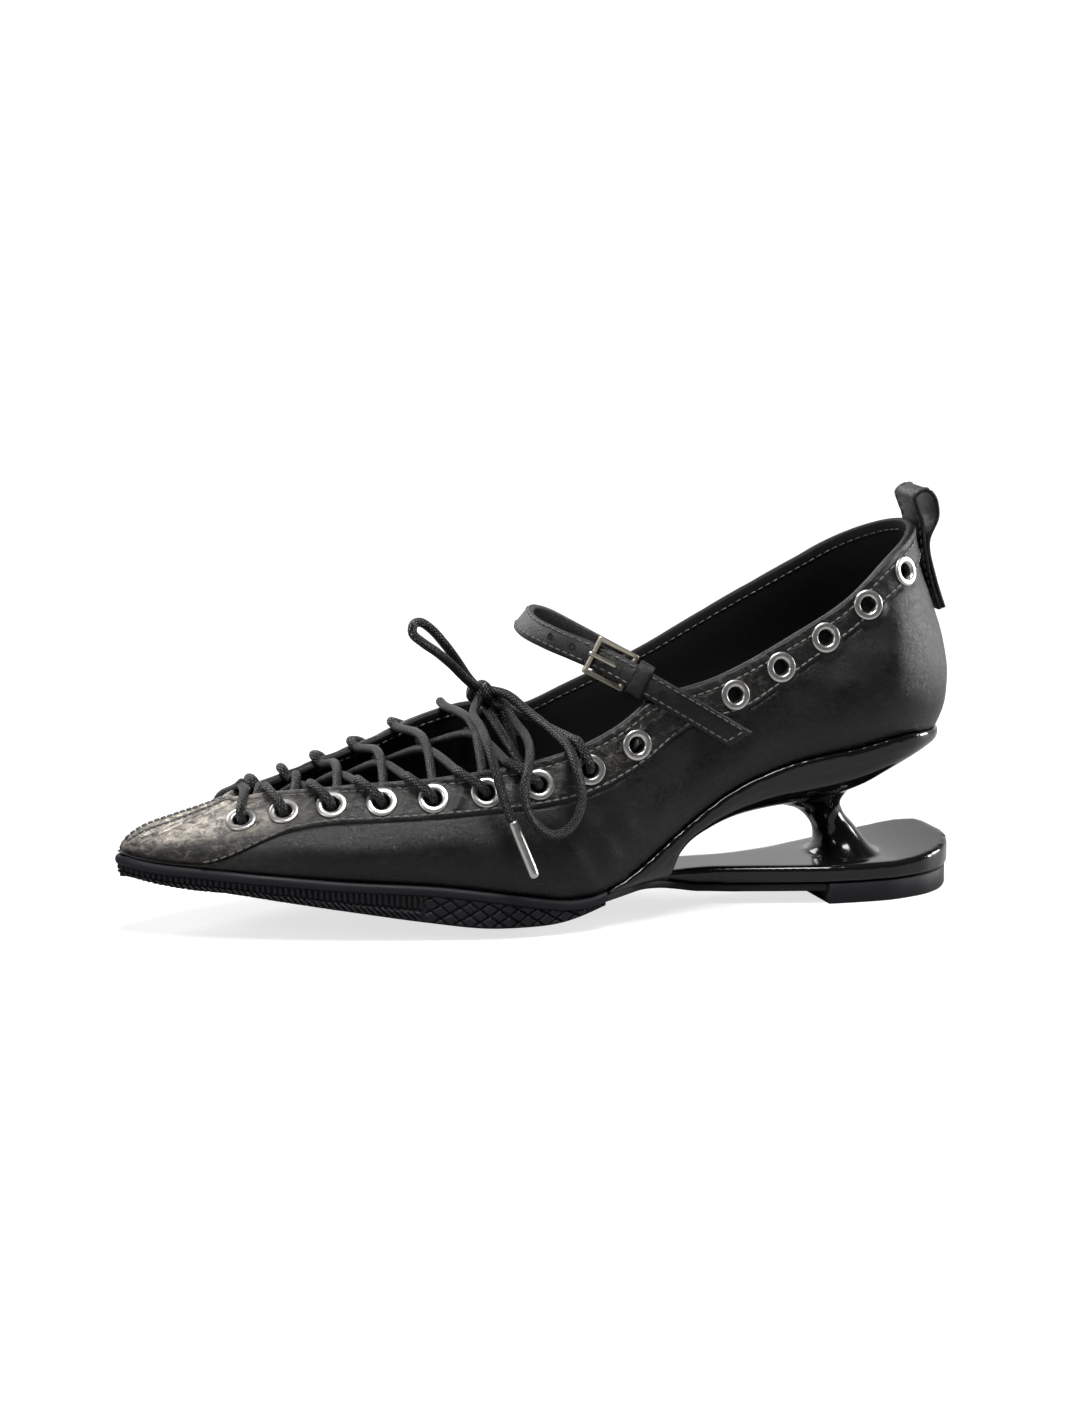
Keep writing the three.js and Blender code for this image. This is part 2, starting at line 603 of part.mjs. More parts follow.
// Forefoot sole: rim under the upper, tread wall set back, edge chamfered, middle flat on the floor
function outsoleGeometry() {
  const rows = (way) => {
    const t = stationOf(way);
    const top = last.seat(t) * seatHeight - featherGap;
    const base = last.sole(t) * seatHeight;
    const width = Math.min(last.outer(t), last.inner(t)) * ballWidth;
    const rise = soleEdgeRise * Math.min(1, (0.8 * width) / soleEdgeInset);
    const ledge = Math.max(top - rimHeight, base + rise + 0.3 * (top - base - rise));
    const foot = Math.min(base + rise, ledge - 0.5);
    return [
      [rimOut - rimRound, top],
      [rimOut, top - rimRound],
      [rimOut, ledge + 0.5 * rimRound],
      [treadOut, ledge],
      [treadOut, foot + Math.min(soleChamfer, 0.5 * (ledge - foot))],
      [treadOut - soleChamfer, foot],
      [-soleEdgeInset, base],
    ];
  };
  return loft(waysBetween(0, seatWay(soleJoint)).map((way) => soleLoop(way, rows)));
}

// Places of the heel unit's sections, as shares of shoeLength
const seatShares = [0.5504, 0.5736, 0.5930, 0.6066, 0.6163, 0.6252, 0.6395, 0.6550, 0.6783, 0.7054, 0.7326,
  0.7597, 0.7907, 0.8217, 0.8527, 0.8837, 0.9109, 0.9341, 0.9535, 0.9671, 0.9767];
const plateShares = [0.6085, 0.6434, 0.6667, 0.6899, 0.7171, 0.7481, 0.7829, 0.8178, 0.8527, 0.8837, 0.9109,
  0.9341, 0.9535, 0.9690, 0.9826, 0.9942, 0.9992];
const waistShares = [0.5543, 0.5814, 0.6124, 0.6434, 0.6744, 0.7171, 0.7674];
const plateFree = 0.659;
const plateRiseStart = 0.9;

// Seat and waist of the heel unit: flange under the upper, round hull below it
function seatGeometry() {
  const start = soleJoint + 2 * gap;
  const windowFront = hullRows[0].at * shoeLength;
  const lengths = [start, ...seatShares.map((share) => share * shoeLength), shoeLength - seatInset];
  const angles = [25, 50, 72].map((degrees) => (degrees * Math.PI) / 180);
  return loft(lengths.map((length) => {
    const way = seatWay(length);
    const share = length / shoeLength;
    const top = last.seat(stationOf(way)) * seatHeight - featherGap;
    const front = length <= windowFront;
    const low = front ? plate.base(share) * plateHeight : hull.hull(share) * seatHeight;
    const ledge = top - Math.min(flangeHeight, 0.45 * (top - low));
    const centre = -0.04 * ballWidth * roundEnd((shoeLength - seatInset - length) / seatRadius);
    const half = (side) => {
      const edge = feather(way, side).addScaledVector(outward(way, side), unitOut);
      const ends = roundEnd((shoeLength - seatInset - length) / seatRadius);
      let foot = centre + side * hull.keel(share) * ballWidth * ends;
      if (front) foot = side * (side < 0 ? plate.outer(share) : plate.inner(share)) * ballWidth;
      const at = (y, z) => new THREE.Vector3(edge.x, y, z);
      const hullPoints = angles.map((angle) => {
        const y = foot + (edge.y - foot) * Math.cos(angle);
        return at(y, ledge - (ledge - low) * Math.sin(angle));
      });
      return [at(edge.y, top), at(edge.y, ledge), ...hullPoints, at(foot, low)];
    };
    return [...half(-1), ...half(1).reverse()];
  }));
}

// Outline of the foot plate at one length, inset from its edge
function plateLoop(length, bottom, top, inset) {
  const share = length / shoeLength;
  const outer = -plate.outer(share) * ballWidth;
  const inner = plate.inner(share) * ballWidth;
  const keep = Math.min(inset, 0.35 * (inner - outer));
  const x = length - inset * roundEnd((length - 0.95 * shoeLength) / (plateEnd - 0.95 * shoeLength));
  const corner = (y, z) => new THREE.Vector3(x, y, z);
  const [near, far] = [outer + keep, inner - keep];
  return [corner(near, top), corner(near, bottom), corner(far, bottom), corner(far, top)];
}

const plateBase = (length) => plate.base(length / shoeLength) * plateHeight;
const plateLengths = [...plateShares.map((share) => share * shoeLength), plateEnd];

function plateGeometry() {
  const roofOf = (length) => {
    const seatTop = last.seat(stationOf(seatWay(length))) * seatHeight;
    if (length < plateFree * shoeLength) return Math.min(plateHeight, seatTop - plateInnerSink);
    const rear = (length - plateRiseStart * shoeLength) / (plateEnd - plateRiseStart * shoeLength);
    return plateHeight + plateRise * Math.max(rear, 0) ** 1.5;
  };
  return loft(plateLengths.map((length) => plateLoop(length, plateBase(length), roofOf(length), 0)));
}

function columnGeometry() {
  const sides = 16;
  return loft(columnRows.map((row) => Array.from({ length: sides }, (_, i) => {
    const angle = (2 * Math.PI * i) / sides;
    const x = row.at * shoeLength + Math.cos(angle) * row.long * ballWidth;
    const y = row.across * ballWidth + Math.sin(angle) * row.wide * ballWidth;
    return new THREE.Vector3(x, y, row.up * seatHeight);
  })));
}

function heelUnitGeometry() {
  return fromSolid(toSolid(seatGeometry()).add(toSolid(plateGeometry())).add(toSolid(columnGeometry())));
}

function waistSoleGeometry() {
  const lengths = [soleJoint + 2 * gap, ...waistShares.map((share) => share * shoeLength), liftStart - gap];
  return loft(lengths.map((length) => {
    const roof = plateBase(length) - gap;
    return plateLoop(length, roof - waistSoleThickness, roof, waistSoleInset);
  }));
}

function liftGeometry() {
  const lengths = [liftStart, ...plateLengths.filter((length) => length > liftStart + 2)];
  const roof = plateBase(liftStart) - gap;
  return loft(lengths.map((length) => plateLoop(length, 0, roof, liftInset)));
}

// Strap in the tilted plane of its hoop
const tilt = (strapTilt * Math.PI) / 180;
const strapAcross = new THREE.Vector3(Math.cos(tilt), 0, Math.sin(tilt));
const hoopForward = new THREE.Vector3(-Math.sin(tilt), 0, Math.cos(tilt));
const hoopMiddle = new THREE.Vector3(hoopLength, 0, hoopHeight);
const strapPoint = (across, rise) => hoopMiddle.clone()
  .addScaledVector(new THREE.Vector3(0, 1, 0), across * hoopHalfSpan)
  .addScaledVector(hoopForward, rise * hoopRise);
const strapCurve = new THREE.CatmullRomCurve3(
  strapRows.map((row) => strapPoint(row.across, row.rise)), false, 'centripetal');
const strapLength = strapCurve.getLength();

// Place on the strap by its distance from the end of the tail: point, direction and outer normal
function strapAt(distance, lift = 0) {
  const u = Math.min(Math.max(distance / strapLength, 0), 1);
  const along = strapCurve.getTangentAt(u);
  const normal = new THREE.Vector3().crossVectors(strapAcross, along).normalize();
  return { point: strapCurve.getPointAt(u).addScaledVector(normal, lift), along, normal };
}

function strapRibbon(from, to, steps, lift, width, thickness, { slant = 0, shift = 0 } = {}) {
  const distances = Array.from({ length: steps + 1 }, (_, i) => from + ((to - from) * i) / steps);
  const places = distances.map((distance) => strapAt(distance, lift));
  const path = places.map((p) => p.point.addScaledVector(strapAcross, shift));
  const normals = places.map((p) => p.normal);
  return ribbon(path, normals, path.map(() => strapAcross), width, thickness, slant);
}

const buckleDistance = 48.5;
const keeperDistance = buckleDistance - buckleLength / 2 - gap - keeperLength / 2;
const tabLift = -(strapThickness / 2 + gap + tabThickness / 2);
const barReach = (buckleLength - buckleBar) / 2;
const buckleLift = strapThickness / 2 + buckleBar / 2 + 2 * gap;
const buckleLean = Math.asin(buckleLift / barReach);

function frameOnStrap(distance) {
  const { point, along, normal } = strapAt(distance);
  const side = new THREE.Vector3().crossVectors(normal, along);
  return new THREE.Matrix4().makeBasis(along, side, normal).setPosition(point);
}

const buckleMatrix = frameOnStrap(buckleDistance).multiply(new THREE.Matrix4().makeRotationY(-buckleLean));

function rectangle(width, height) {
  const shape = new THREE.Shape();
  shape.moveTo(-width / 2, -height / 2);
  shape.lineTo(width / 2, -height / 2);
  shape.lineTo(width / 2, height / 2);
  shape.lineTo(-width / 2, height / 2);
  shape.closePath();
  return shape;
}

function buckleGeometry() {
  const shape = rectangle(buckleLength, buckleWidth);
  shape.holes.push(rectangle(buckleLength - 2 * buckleBar, buckleWidth - 2 * buckleBar));
  const bevel = 0.35;
  const edges = { bevelThickness: bevel, bevelSize: bevel, bevelOffset: -bevel, bevelSegments: 1 };
  const frame = new THREE.ExtrudeGeometry(shape, { depth: buckleBar - 2 * bevel, ...edges });
  return place(frame.translate(0, 0, bevel - buckleBar / 2), buckleMatrix);
}

const prongStart = [-(barReach - buckleBar / 2 - gap - prongRadius), 0, 0];
const prongEnd = [barReach + buckleBar / 2 - gap, 0, buckleBar / 2 + 2 * gap + prongRadius];

function prongGeometry(radius = prongRadius, stretch = 0) {
  const from = new THREE.Vector3(...prongStart);
  const to = new THREE.Vector3(...prongEnd);
  const direction = to.clone().sub(from).normalize();
  from.addScaledVector(direction, -stretch);
  const length = to.distanceTo(from);
  const rod = new THREE.CylinderGeometry(radius, radius, length, 8).rotateX(Math.PI / 2);
  const matrix = frameAt(from.clone().lerp(to, 0.5), direction, new THREE.Vector3(0, 1, 0));
  return place(place(rod, matrix), buckleMatrix);
}

function strapGeometry() {
  const reach = tailStart + tailSlant / 2;
  const slant = tailSlant;
  const band = toSolid(strapRibbon(reach, strapLength, 26, 0, strapWidth, strapThickness, { slant }));
  return fromSolid(band.subtract(toSolid(prongGeometry(prongRadius + gap, 2))));
}

// Keeper: closed leather loop around strap and tab
function keeperGeometry() {
  const top = strapThickness / 2 + gap;
  const inside = { width: strapWidth + 2 * gap, top, bottom: tabLift - tabThickness / 2 - gap };
  const height = inside.top - inside.bottom;
  const shape = rectangle(inside.width + 2 * keeperThickness, height + 2 * keeperThickness);
  shape.holes.push(rectangle(inside.width, height));
  const loop = new THREE.ExtrudeGeometry(shape, { depth: keeperLength, bevelEnabled: false });
  loop.translate(0, 0, -keeperLength / 2);
  const { point, along, normal } = strapAt(keeperDistance, (inside.top + inside.bottom) / 2);
  const across = strapAcross.clone().negate();
  return place(loop, new THREE.Matrix4().makeBasis(across, normal, along).setPosition(point));
}

// Tab that the collar sends up under the strap to the buckle's hinge bar
function tabGeometry() {
  const tabEnd = buckleDistance - barReach - buckleBar;
  const width = strapWidth - tabNarrowing;
  return strapRibbon(tabFoot, tabEnd, 6, tabLift, width, tabThickness, { shift: tabShift });
}

// Pull loop: one strip folded over, both ends sewn to the outside of the heel
function pullLoopGeometry() {
  const backAt = (k, lift) => lifted(1, -1, k, lift);
  const first = gap + loopThickness / 2;
  const second = first + loopThickness + gap;
  const foot = 0.56;
  const pinch = 0.9;
  const edge = topline(1, -1);
  const pathRows = [
    backAt(foot, second), backAt((foot + pinch) / 2, second), backAt(pinch, second),
    new THREE.Vector3(edge.x + 2 * loopHalfWidth - 0.2, 0, 0.5 * (edge.z + loopTop) - 3),
    new THREE.Vector3(edge.x + 2 * loopHalfWidth - 1.6, 0, loopTop - 2.4),
    new THREE.Vector3(edge.x + loopHalfWidth - 1, 0, loopTop - loopThickness / 2),
    new THREE.Vector3(edge.x - 0.6, 0, loopTop - 2.6),
    new THREE.Vector3(edge.x + 0.2, 0, 0.5 * (edge.z + loopTop)),
    backAt(1, bandStep + first + 0.2), backAt(pinch, bandStep + first),
    backAt((foot + pinch) / 2, first), backAt(foot, first),
  ];
  const curve = new THREE.CatmullRomCurve3(pathRows, false, 'centripetal');
  const steps = 26;
  const path = Array.from({ length: steps + 1 }, (_, i) => curve.getPointAt(i / steps));
  const side = new THREE.Vector3(0, 1, 0);
  const normals = path.map((_, i) =>
    new THREE.Vector3().crossVectors(side, curve.getTangentAt(i / steps)).normalize());
  return ribbon(path, normals, path.map(() => side), loopWidth, loopThickness);
}

// Lace: from one side's eyelet up through the throat, over the other edge and into the next eyelet
const laceReach = laceDiameter / 2 + gap;
const lacedPairs = 7;

function rimPoint(eyelet, out, up) {
  const rim = skin(eyelet.way, eyelet.side, 1);
  const rise = rim.clone().sub(skin(eyelet.way, eyelet.side, 0.8)).normalize();
  return rim.addScaledVector(skinNormal(eyelet.way, eyelet.side, 1), out).addScaledVector(rise, up);
}

const overRim = (eyelet) => [
  rimPoint(eyelet, -wall - 2 * laceReach, -1.5),
  rimPoint(eyelet, -wall - 0.5, laceReach + 1.6),
  rimPoint(eyelet, bandStep + 0.8, laceReach + 1.5),
  rimPoint(eyelet, bandStep + laceReach + 0.9, -0.6),
];

const onAxis = (eyelet, lift) => eyelet.face.clone().addScaledVector(eyelet.normal, lift);
const flangeTop = gap + eyeletFlangeHeight;

function intoEyelet(eyelet) {
  const rim = rimPoint(eyelet, bandStep, 0);
  const toRim = rim.sub(eyelet.face).normalize();
  return [
    onAxis(eyelet, flangeTop + laceReach + 0.1).addScaledVector(toRim, eyeletFlangeRadius * 0.8),
    onAxis(eyelet, flangeTop + laceReach - 0.2).addScaledVector(toRim, eyeletFlangeRadius * 0.2),
    onAxis(eyelet, 0.8),
    onAxis(eyelet, -wall - bandStep),
    onAxis(eyelet, -wall - bandStep - 2.4),
  ];
}

// Where the two strands between one pair of eyelets and the next cross
function crossing(n) {
  const ends = ['outer', 'inner'].flatMap((side) =>
    [rimPoint(eyelets[side][n], 0, 0), rimPoint(eyelets[side][n + 1], 0, 0)]);
  const middle = new THREE.Vector3();
  ends.forEach((end) => middle.addScaledVector(end, 1 / ends.length));
  return middle.setZ(middle.z + laceCrown * (n / lacedPairs));
}

function laceCord(start) {
  const other = { outer: 'inner', inner: 'outer' };
  const first = eyelets[start][0];
  const crown = rimPoint(eyelets.outer[0], 0, 0).lerp(rimPoint(eyelets.inner[0], 0, 0), 0.5);
  const points = [
    crown.setZ(crown.z + bandStep + seamHeight + 1.6 * laceReach),
    rimPoint(first, bandStep + laceReach + 0.2, 0),
    ...intoEyelet(first),
  ];
  let side = start;
  for (let n = 0; n < lacedPairs - 1; n += 1) {
    side = other[side];
    points.push(crossing(n), ...overRim(eyelets[side][n + 1]), ...intoEyelet(eyelets[side][n + 1]));
  }
  points.push(knotFoot);
  return cord(points, laceDiameter);
}

// Last strand on each side: from the knot over the edge into the eighth eyelet
function lastStrand(side) {
  const eyelet = eyelets[side][lacedPairs];
  return cord([knotFoot, ...overRim(eyelet), ...intoEyelet(eyelet)], laceDiameter);
}

const laceCrown = 4;
const knotRadii = [5, 4.6, 3.9];
const knotMiddle = new THREE.Vector3(111, 5, 65.5);
const knotFoot = knotMiddle.clone().add(new THREE.Vector3(1, 0, -knotRadii[2] - laceDiameter / 2));

function crossingsGeometry() {
  const parts = [laceCord('outer'), laceCord('inner'), lastStrand('outer'), lastStrand('inner')];
  return fromSolid(parts.map(toSolid).reduce((sum, part) => sum.add(part)));
}

add('upper', cutHoles(upperShell()), leather);
add('insole', insoleGeometry(), lining);
add('outsole', outsoleGeometry(), rubber);
add('heel_unit', heelUnitGeometry(), gloss);
add('waist_sole', waistSoleGeometry(), rubber);
add('heel_lift', liftGeometry(), rubber);
add('strap', strapGeometry(), leather);
add('strap_tab', tabGeometry(), leather);
add('keeper', keeperGeometry(), leather);
add('buckle_frame', buckleGeometry(), nickel);
add('buckle_prong', prongGeometry(), nickel);
add('pull_loop', pullLoopGeometry(), leather);
Object.entries(eyelets).forEach(([side, places]) => places.forEach(({ matrix }, i) => {
  const number = String(i + 1).padStart(2, '0');
  add(`eyelet_${side}_${number}`, place(eyeletGeometry(), matrix), nickel);
}));

add('lace_crossings', crossingsGeometry(), waxed);

// Knot, bow loops and lace ends with their metal tips
// Place inside the knot in the given direction: each cord starts there and is cut off at the knot's face
function atKnot(x, y, z) {
  const reach = Math.hypot(x / knotRadii[0], y / knotRadii[1], z / knotRadii[2]);
  return new THREE.Vector3(x, y, z).multiplyScalar(0.7 / reach).add(knotMiddle).toArray();
}

const ellipsoid = (grow) =>
  new THREE.SphereGeometry(1, 10, 6).scale(...knotRadii.map((radius) => radius + grow));
const knotGeometry = ellipsoid(0);
const knotClear = toSolid(ellipsoid(gap + 0.05).translate(knotMiddle.x, knotMiddle.y, knotMiddle.z));
add('lace_knot', knotGeometry.translate(knotMiddle.x, knotMiddle.y, knotMiddle.z), waxed);

const freeCords = {
  lace_loop_up: [atKnot(-3.2, 1.6, 3.4), [102, 2, 77], [97, -2, 83], [92.5, -4, 87.6], [88.4, -6, 89.8],
    [85.6, -8, 89.4], [85.2, -10, 87], [88, -11.5, 84], [93, -11, 80.2], [98.5, -8.5, 76.4],
    [104, -2.5, 71.2], atKnot(-3.4, -2.2, 2.6)],
  lace_loop_down: [atKnot(4.4, -0.6, 0.2), [121, -3, 63.4], [121.8, -17, 61.4], [121.4, -28.5, 60.6],
    [118.6, -38.4, 55], [115, -40.6, 46], [113.8, -40.6, 38], [116.5, -41.6, 31.8], [122.5, -41.8, 28],
    [129, -41.2, 31.4], [130.6, -40.2, 38.6], [128.4, -39.2, 46.4], [124.8, -37.2, 53.6],
    [123.5, -29.5, 58.6], [124.6, -17.5, 62.4], [121, -8, 66], [116.6, -1.6, 68.6], atKnot(2.6, -3.2, 2.6)],
  lace_end_outer: [atKnot(-3.2, -3.6, -1.6), [104, -8, 61.6], [102.4, -20, 60], [100.8, -31.5, 56.6],
    [101.2, -37.4, 50], [103, -39.4, 42], [104.8, -41, 36.4]],
  lace_end_inner: [atKnot(3.8, 1.5, -2.4), [117.5, 6, 59], [119, 3, 53], [118.5, -3, 47], [117.5, -6.5, 41],
    [117, -8, 36], [116.8, -8.5, 33]],
};
const freeEnds = {};
Object.entries(freeCords).forEach(([name, points]) => {
  const curve = new THREE.CatmullRomCurve3(points.map((p) => new THREE.Vector3(...p)), false, 'centripetal');
  const steps = Math.round(curve.getLength() / (2.8 * laceDiameter));
  add(name, fromSolid(toSolid(cord(curve.getSpacedPoints(steps), laceDiameter)).subtract(knotClear)), waxed);
  freeEnds[name] = { point: curve.getPointAt(1), along: curve.getTangentAt(1) };
});

function tipGeometry({ point, along }) {
  const start = point.clone().addScaledVector(along, gap);
  return cord([start, start.clone().addScaledVector(along, tipLength)], tipDiameter);
}

add('lace_tip_outer', tipGeometry(freeEnds.lace_end_outer), nickel);
add('lace_tip_inner', tipGeometry(freeEnds.lace_end_inner), nickel);

// Origin: middle of the box around the fixed pieces, on the floor
const freePieces = ['lace_knot', 'lace_tip_outer', 'lace_tip_inner', ...Object.keys(freeCords)];
const fixedBox = new THREE.Box3();
group.children.filter((mesh) => !freePieces.includes(mesh.name))
  .forEach((mesh) => fixedBox.expandByObject(mesh));
const origin = fixedBox.getCenter(new THREE.Vector3()).setZ(fixedBox.min.z);
group.children.forEach((mesh) => mesh.geometry.translate(-origin.x, -origin.y, -origin.z));

export default group;
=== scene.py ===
"""Visible surfaces of a lace up heel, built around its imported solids."""

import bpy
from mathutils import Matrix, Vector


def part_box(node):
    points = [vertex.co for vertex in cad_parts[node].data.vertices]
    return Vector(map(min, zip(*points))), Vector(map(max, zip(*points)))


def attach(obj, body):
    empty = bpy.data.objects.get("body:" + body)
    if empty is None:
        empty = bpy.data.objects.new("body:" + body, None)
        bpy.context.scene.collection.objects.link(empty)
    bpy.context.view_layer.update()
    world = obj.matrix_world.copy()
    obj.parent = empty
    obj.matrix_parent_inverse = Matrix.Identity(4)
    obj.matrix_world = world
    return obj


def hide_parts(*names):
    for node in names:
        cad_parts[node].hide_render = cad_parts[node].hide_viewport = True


bl_info = {
    "name": "Lace up heel",
    "version": (1, 0, 0),
    "blender": (4, 5, 0),
    "location": "View3D > Sidebar > Shoe",
    "description": "Builds the leather, sole, heel unit, lace and trim of a lace up heel",
    "category": "Object",
}

import bpy
import numpy as np
from bpy.props import FloatProperty, FloatVectorProperty, PointerProperty
from mathutils import Vector

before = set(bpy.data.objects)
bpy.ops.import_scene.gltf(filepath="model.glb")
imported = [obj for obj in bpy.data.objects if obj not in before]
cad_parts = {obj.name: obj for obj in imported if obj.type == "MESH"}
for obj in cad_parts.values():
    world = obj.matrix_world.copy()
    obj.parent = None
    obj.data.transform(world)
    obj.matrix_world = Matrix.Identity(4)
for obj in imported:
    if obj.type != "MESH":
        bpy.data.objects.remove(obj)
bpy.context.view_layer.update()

# Sizes in millimetres, the same as the solids'
SHOE_LENGTH, BALL_WIDTH, SEAT_HEIGHT, TOPLINE_HEIGHT = 258.0, 75.0, 50.0, 111.0
HEEL_BULGE, SEAT_INSET, THROAT_START, TOPLINE_INSET = 5.6, 5.2, 33.0, 13.0
NOSE_RADIUS, SEAT_RADIUS, THROAT_RADIUS, TOPLINE_RADIUS = 6.0, 26.0, 5.0, 22.0
WALL, BAND_STEP, SEAM_HEIGHT = 1.8, 0.9, 0.8
FEATHER_GAP, SOLE_JOINT, LIFT_START = 0.35, 0.5271 * SHOE_LENGTH, 0.8178 * SHOE_LENGTH
PLATE_HEIGHT, PLATE_END, PLATE_RISE = 11.8, 1.0016 * SHOE_LENGTH, 2.8
EYELET_HOLE, EYELET_RADIUS = 2.35, 4.5
LACED_PAIRS = 7

lift_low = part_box("heel_lift")[0]
loop_low, loop_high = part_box("pull_loop")
ORIGIN = np.array([LIFT_START - 1000 * lift_low[0], -500 * (loop_low[1] + loop_high[1]), 0.0])


def metres(points):
    """Points of the last's millimetre axes (toe tip at 0) in the frame's metres."""
    return (np.asarray(points, float) - ORIGIN) / 1000


# One row for each station from toe (0) to heel (1), in shares of the sizes above
STATION_NAMES = ("at", "axis", "outer", "inner", "seat", "edge_axis", "edge", "edge_outer", "edge_inner",
                 "belly", "band", "hole", "sole")
STATIONS = np.array([
    (0.00, .080, .047, .047, .496, .080, .053, .348, .348, .46, .03, .560, .376),
    (0.04, .080, .123, .123, .456, .080, .101, .366, .360, .56, .03, .560, .306),
    (0.08, .080, .197, .197, .440, .080, .167, .378, .366, .67, .03, .640, .256),
    (0.12, .080, .263, .263, .420, .080, .227, .389, .378, .75, .46, .745, .222),
    (0.16, .080, .320, .320, .402, .077, .280, .399, .394, .80, .56, .770, .182),
    (0.24, .080, .413, .413, .366, .061, .360, .414, .431, .80, .60, .790, .114),
    (0.32, .064, .473, .480, .340, .039, .408, .435, .485, .80, .62, .800, .048),
    (0.40, .028, .500, .493, .284, .020, .427, .461, .515, .75, .64, .810, .000),
    (0.46, .011, .493, .471, .226, .009, .435, .495, .489, .71, .66, .825, .000),
    (0.49, .005, .480, .451, .204, .004, .433, .523, .509, .67, .67, .825, .026),
    (0.52, .001, .461, .427, .224, .000, .431, .550, .536, .64, .68, .815, .072),
    (0.55, .000, .443, .400, .284, .000, .417, .599, .561, .62, .66, .810, .124),
    (0.58, .000, .424, .373, .384, .000, .403, .614, .587, .62, .69, .810, .138),
    (0.61, .000, .408, .353, .500, .000, .389, .624, .613, .62, .75, .810, .128),
    (0.64, .000, .393, .337, .608, .000, .376, .633, .640, .62, .73, .810, .108),
    (0.70, .000, .368, .323, .784, .000, .359, .672, .703, .64, .64, .810, .086),
    (0.78, .000, .352, .331, .906, .000, .336, .742, .786, .71, .72, .845, .086),
    (0.86, .000, .349, .347, .964, .000, .312, .820, .865, .89, .79, .880, .086),
    (0.93, .000, .341, .341, 1.02, .000, .288, .928, .935, 1.05, .81, .880, .086),
    (1.00, .000, .333, .333, .994, .000, .267, 1.00, 1.00, 1.00, .85, .880, .086),
])

# Foot plate: place (share of the length), its outer and inner edge (of the ball width), underside
PLATE_ROWS = np.array([
    (0.529, .447, .413, .900), (0.550, .407, .360, .932), (0.581, .333, .267, .949),
    (0.612, .260, .173, .864), (0.643, .207, .100, .712), (0.674, .197, .060, .593),
    (0.717, .231, .053, .559), (0.775, .293, .093, .559), (0.829, .340, .173, .559),
    (0.884, .351, .260, .559), (0.930, .317, .313, .559), (0.965, .247, .324, .559),
    (0.990, .133, .293, .559), (1.000, .027, .240, .559), (1.004, -.093, .120, .559),
])

# Underside of the seat: place, height on the middle line (of the seat height), half width of its flat
HULL_ROWS = np.array([
    (0.617, .180, .150), (0.625, .330, .130), (0.640, .420, .110), (0.672, .492, .090), (0.715, .545, .080),
    (0.760, .572, .080), (0.798, .585, .080), (0.833, .610, .080), (0.868, .660, .075), (0.899, .742, .070),
    (0.930, .828, .060), (0.955, .876, .040), (0.980, .895, .000),
])

# Column: height (of the seat height), place, middle across, half length and half width
COLUMN_ROWS = np.array([
    (0.220, .862, -.080, .142, .172), (0.248, .862, -.078, .134, .166), (0.280, .861, -.074, .114, .148),
    (0.330, .858, -.067, .098, .126), (0.400, .852, -.060, .084, .110), (0.460, .843, -.053, .080, .105),
    (0.520, .832, -.047, .098, .120), (0.566, .817, -.040, .150, .160), (0.610, .806, -.033, .210, .205),
    (0.680, .818, -.027, .220, .240),
])


def hermite(s, start, leave, end, arrive):
    """Cubic from start to end, s from 0 to 1, with the slopes it leaves and arrives with."""
    return ((1 + 2 * s) * (1 - s) ** 2 * start + s * (1 - s) ** 2 * leave
            + s * s * (3 - 2 * s) * end + s * s * (s - 1) * arrive)


def steady_curve(x, y):
    """Cubic through the rows that never overshoots: harmonic mean of the two slopes, none at a turn."""
    rate = np.diff(y) / np.diff(x)
    slope = np.zeros_like(y)
    slope[0], slope[-1] = rate[0], rate[-1]
    same = rate[:-1] * rate[1:] > 0
    total = np.where(same, rate[:-1] + rate[1:], 1.0)
    slope[1:-1] = np.where(same, 2 * rate[:-1] * rate[1:] / total, 0.0)

    def value(at):
        at = np.clip(at, x[0], x[-1])
        i = np.clip(np.searchsorted(x, at, side="right") - 1, 0, len(x) - 2)
        step = x[i + 1] - x[i]
        s = (at - x[i]) / step
        return hermite(s, y[i], step * slope[i], y[i + 1], step * slope[i + 1])
    return value


def smooth_curve(x, y, samples=801, width=9):
    """The steady curve, then a running bell average over it, so that its bends are soft."""
    grid = np.linspace(0, 1, samples)
    line = steady_curve(x, y)((1 - np.cos(np.pi * grid)) / 2)
    bell = np.exp(-0.5 * (np.arange(-3 * width, 3 * width + 1) / width) ** 2)
    padded = np.concatenate([line[3 * width:0:-1], line, line[-2:-3 * width - 2:-1]])
    soft = np.convolve(padded, bell / bell.sum(), mode="valid")
    return lambda way: np.interp(way, grid, soft)


LAST = {name: smooth_curve(STATIONS[:, 0], STATIONS[:, i]) for i, name in enumerate(STATION_NAMES) if i}
PLATE = [steady_curve(PLATE_ROWS[:, 0], PLATE_ROWS[:, i]) for i in (1, 2, 3)]
HULL = [steady_curve(HULL_ROWS[:, 0], HULL_ROWS[:, i]) for i in (1, 2)]


def step_up(low, high, value):
    """0 below low, 1 above high, and a smooth rise between them."""
    s = np.clip((value - low) / (high - low), 0, 1)
    return s * s * (3 - 2 * s)


def bell(value, width):
    return np.exp(-(value / width) ** 2)


def unit(v):
    return v / np.maximum(np.linalg.norm(v, axis=-1, keepdims=True), 1e-12)


def round_end(share):
    """Quarter circle: 0 at 0, 1 from 1 on."""
    s = np.clip(share, 0, 1)
    return np.sqrt(np.maximum(1 - (1 - s) ** 2, 0))


def lengths_along(path):
    """Distance from the start of a path to each of its points."""
    return np.concatenate([[0], np.cumsum(np.linalg.norm(np.diff(path, axis=0), axis=1))])


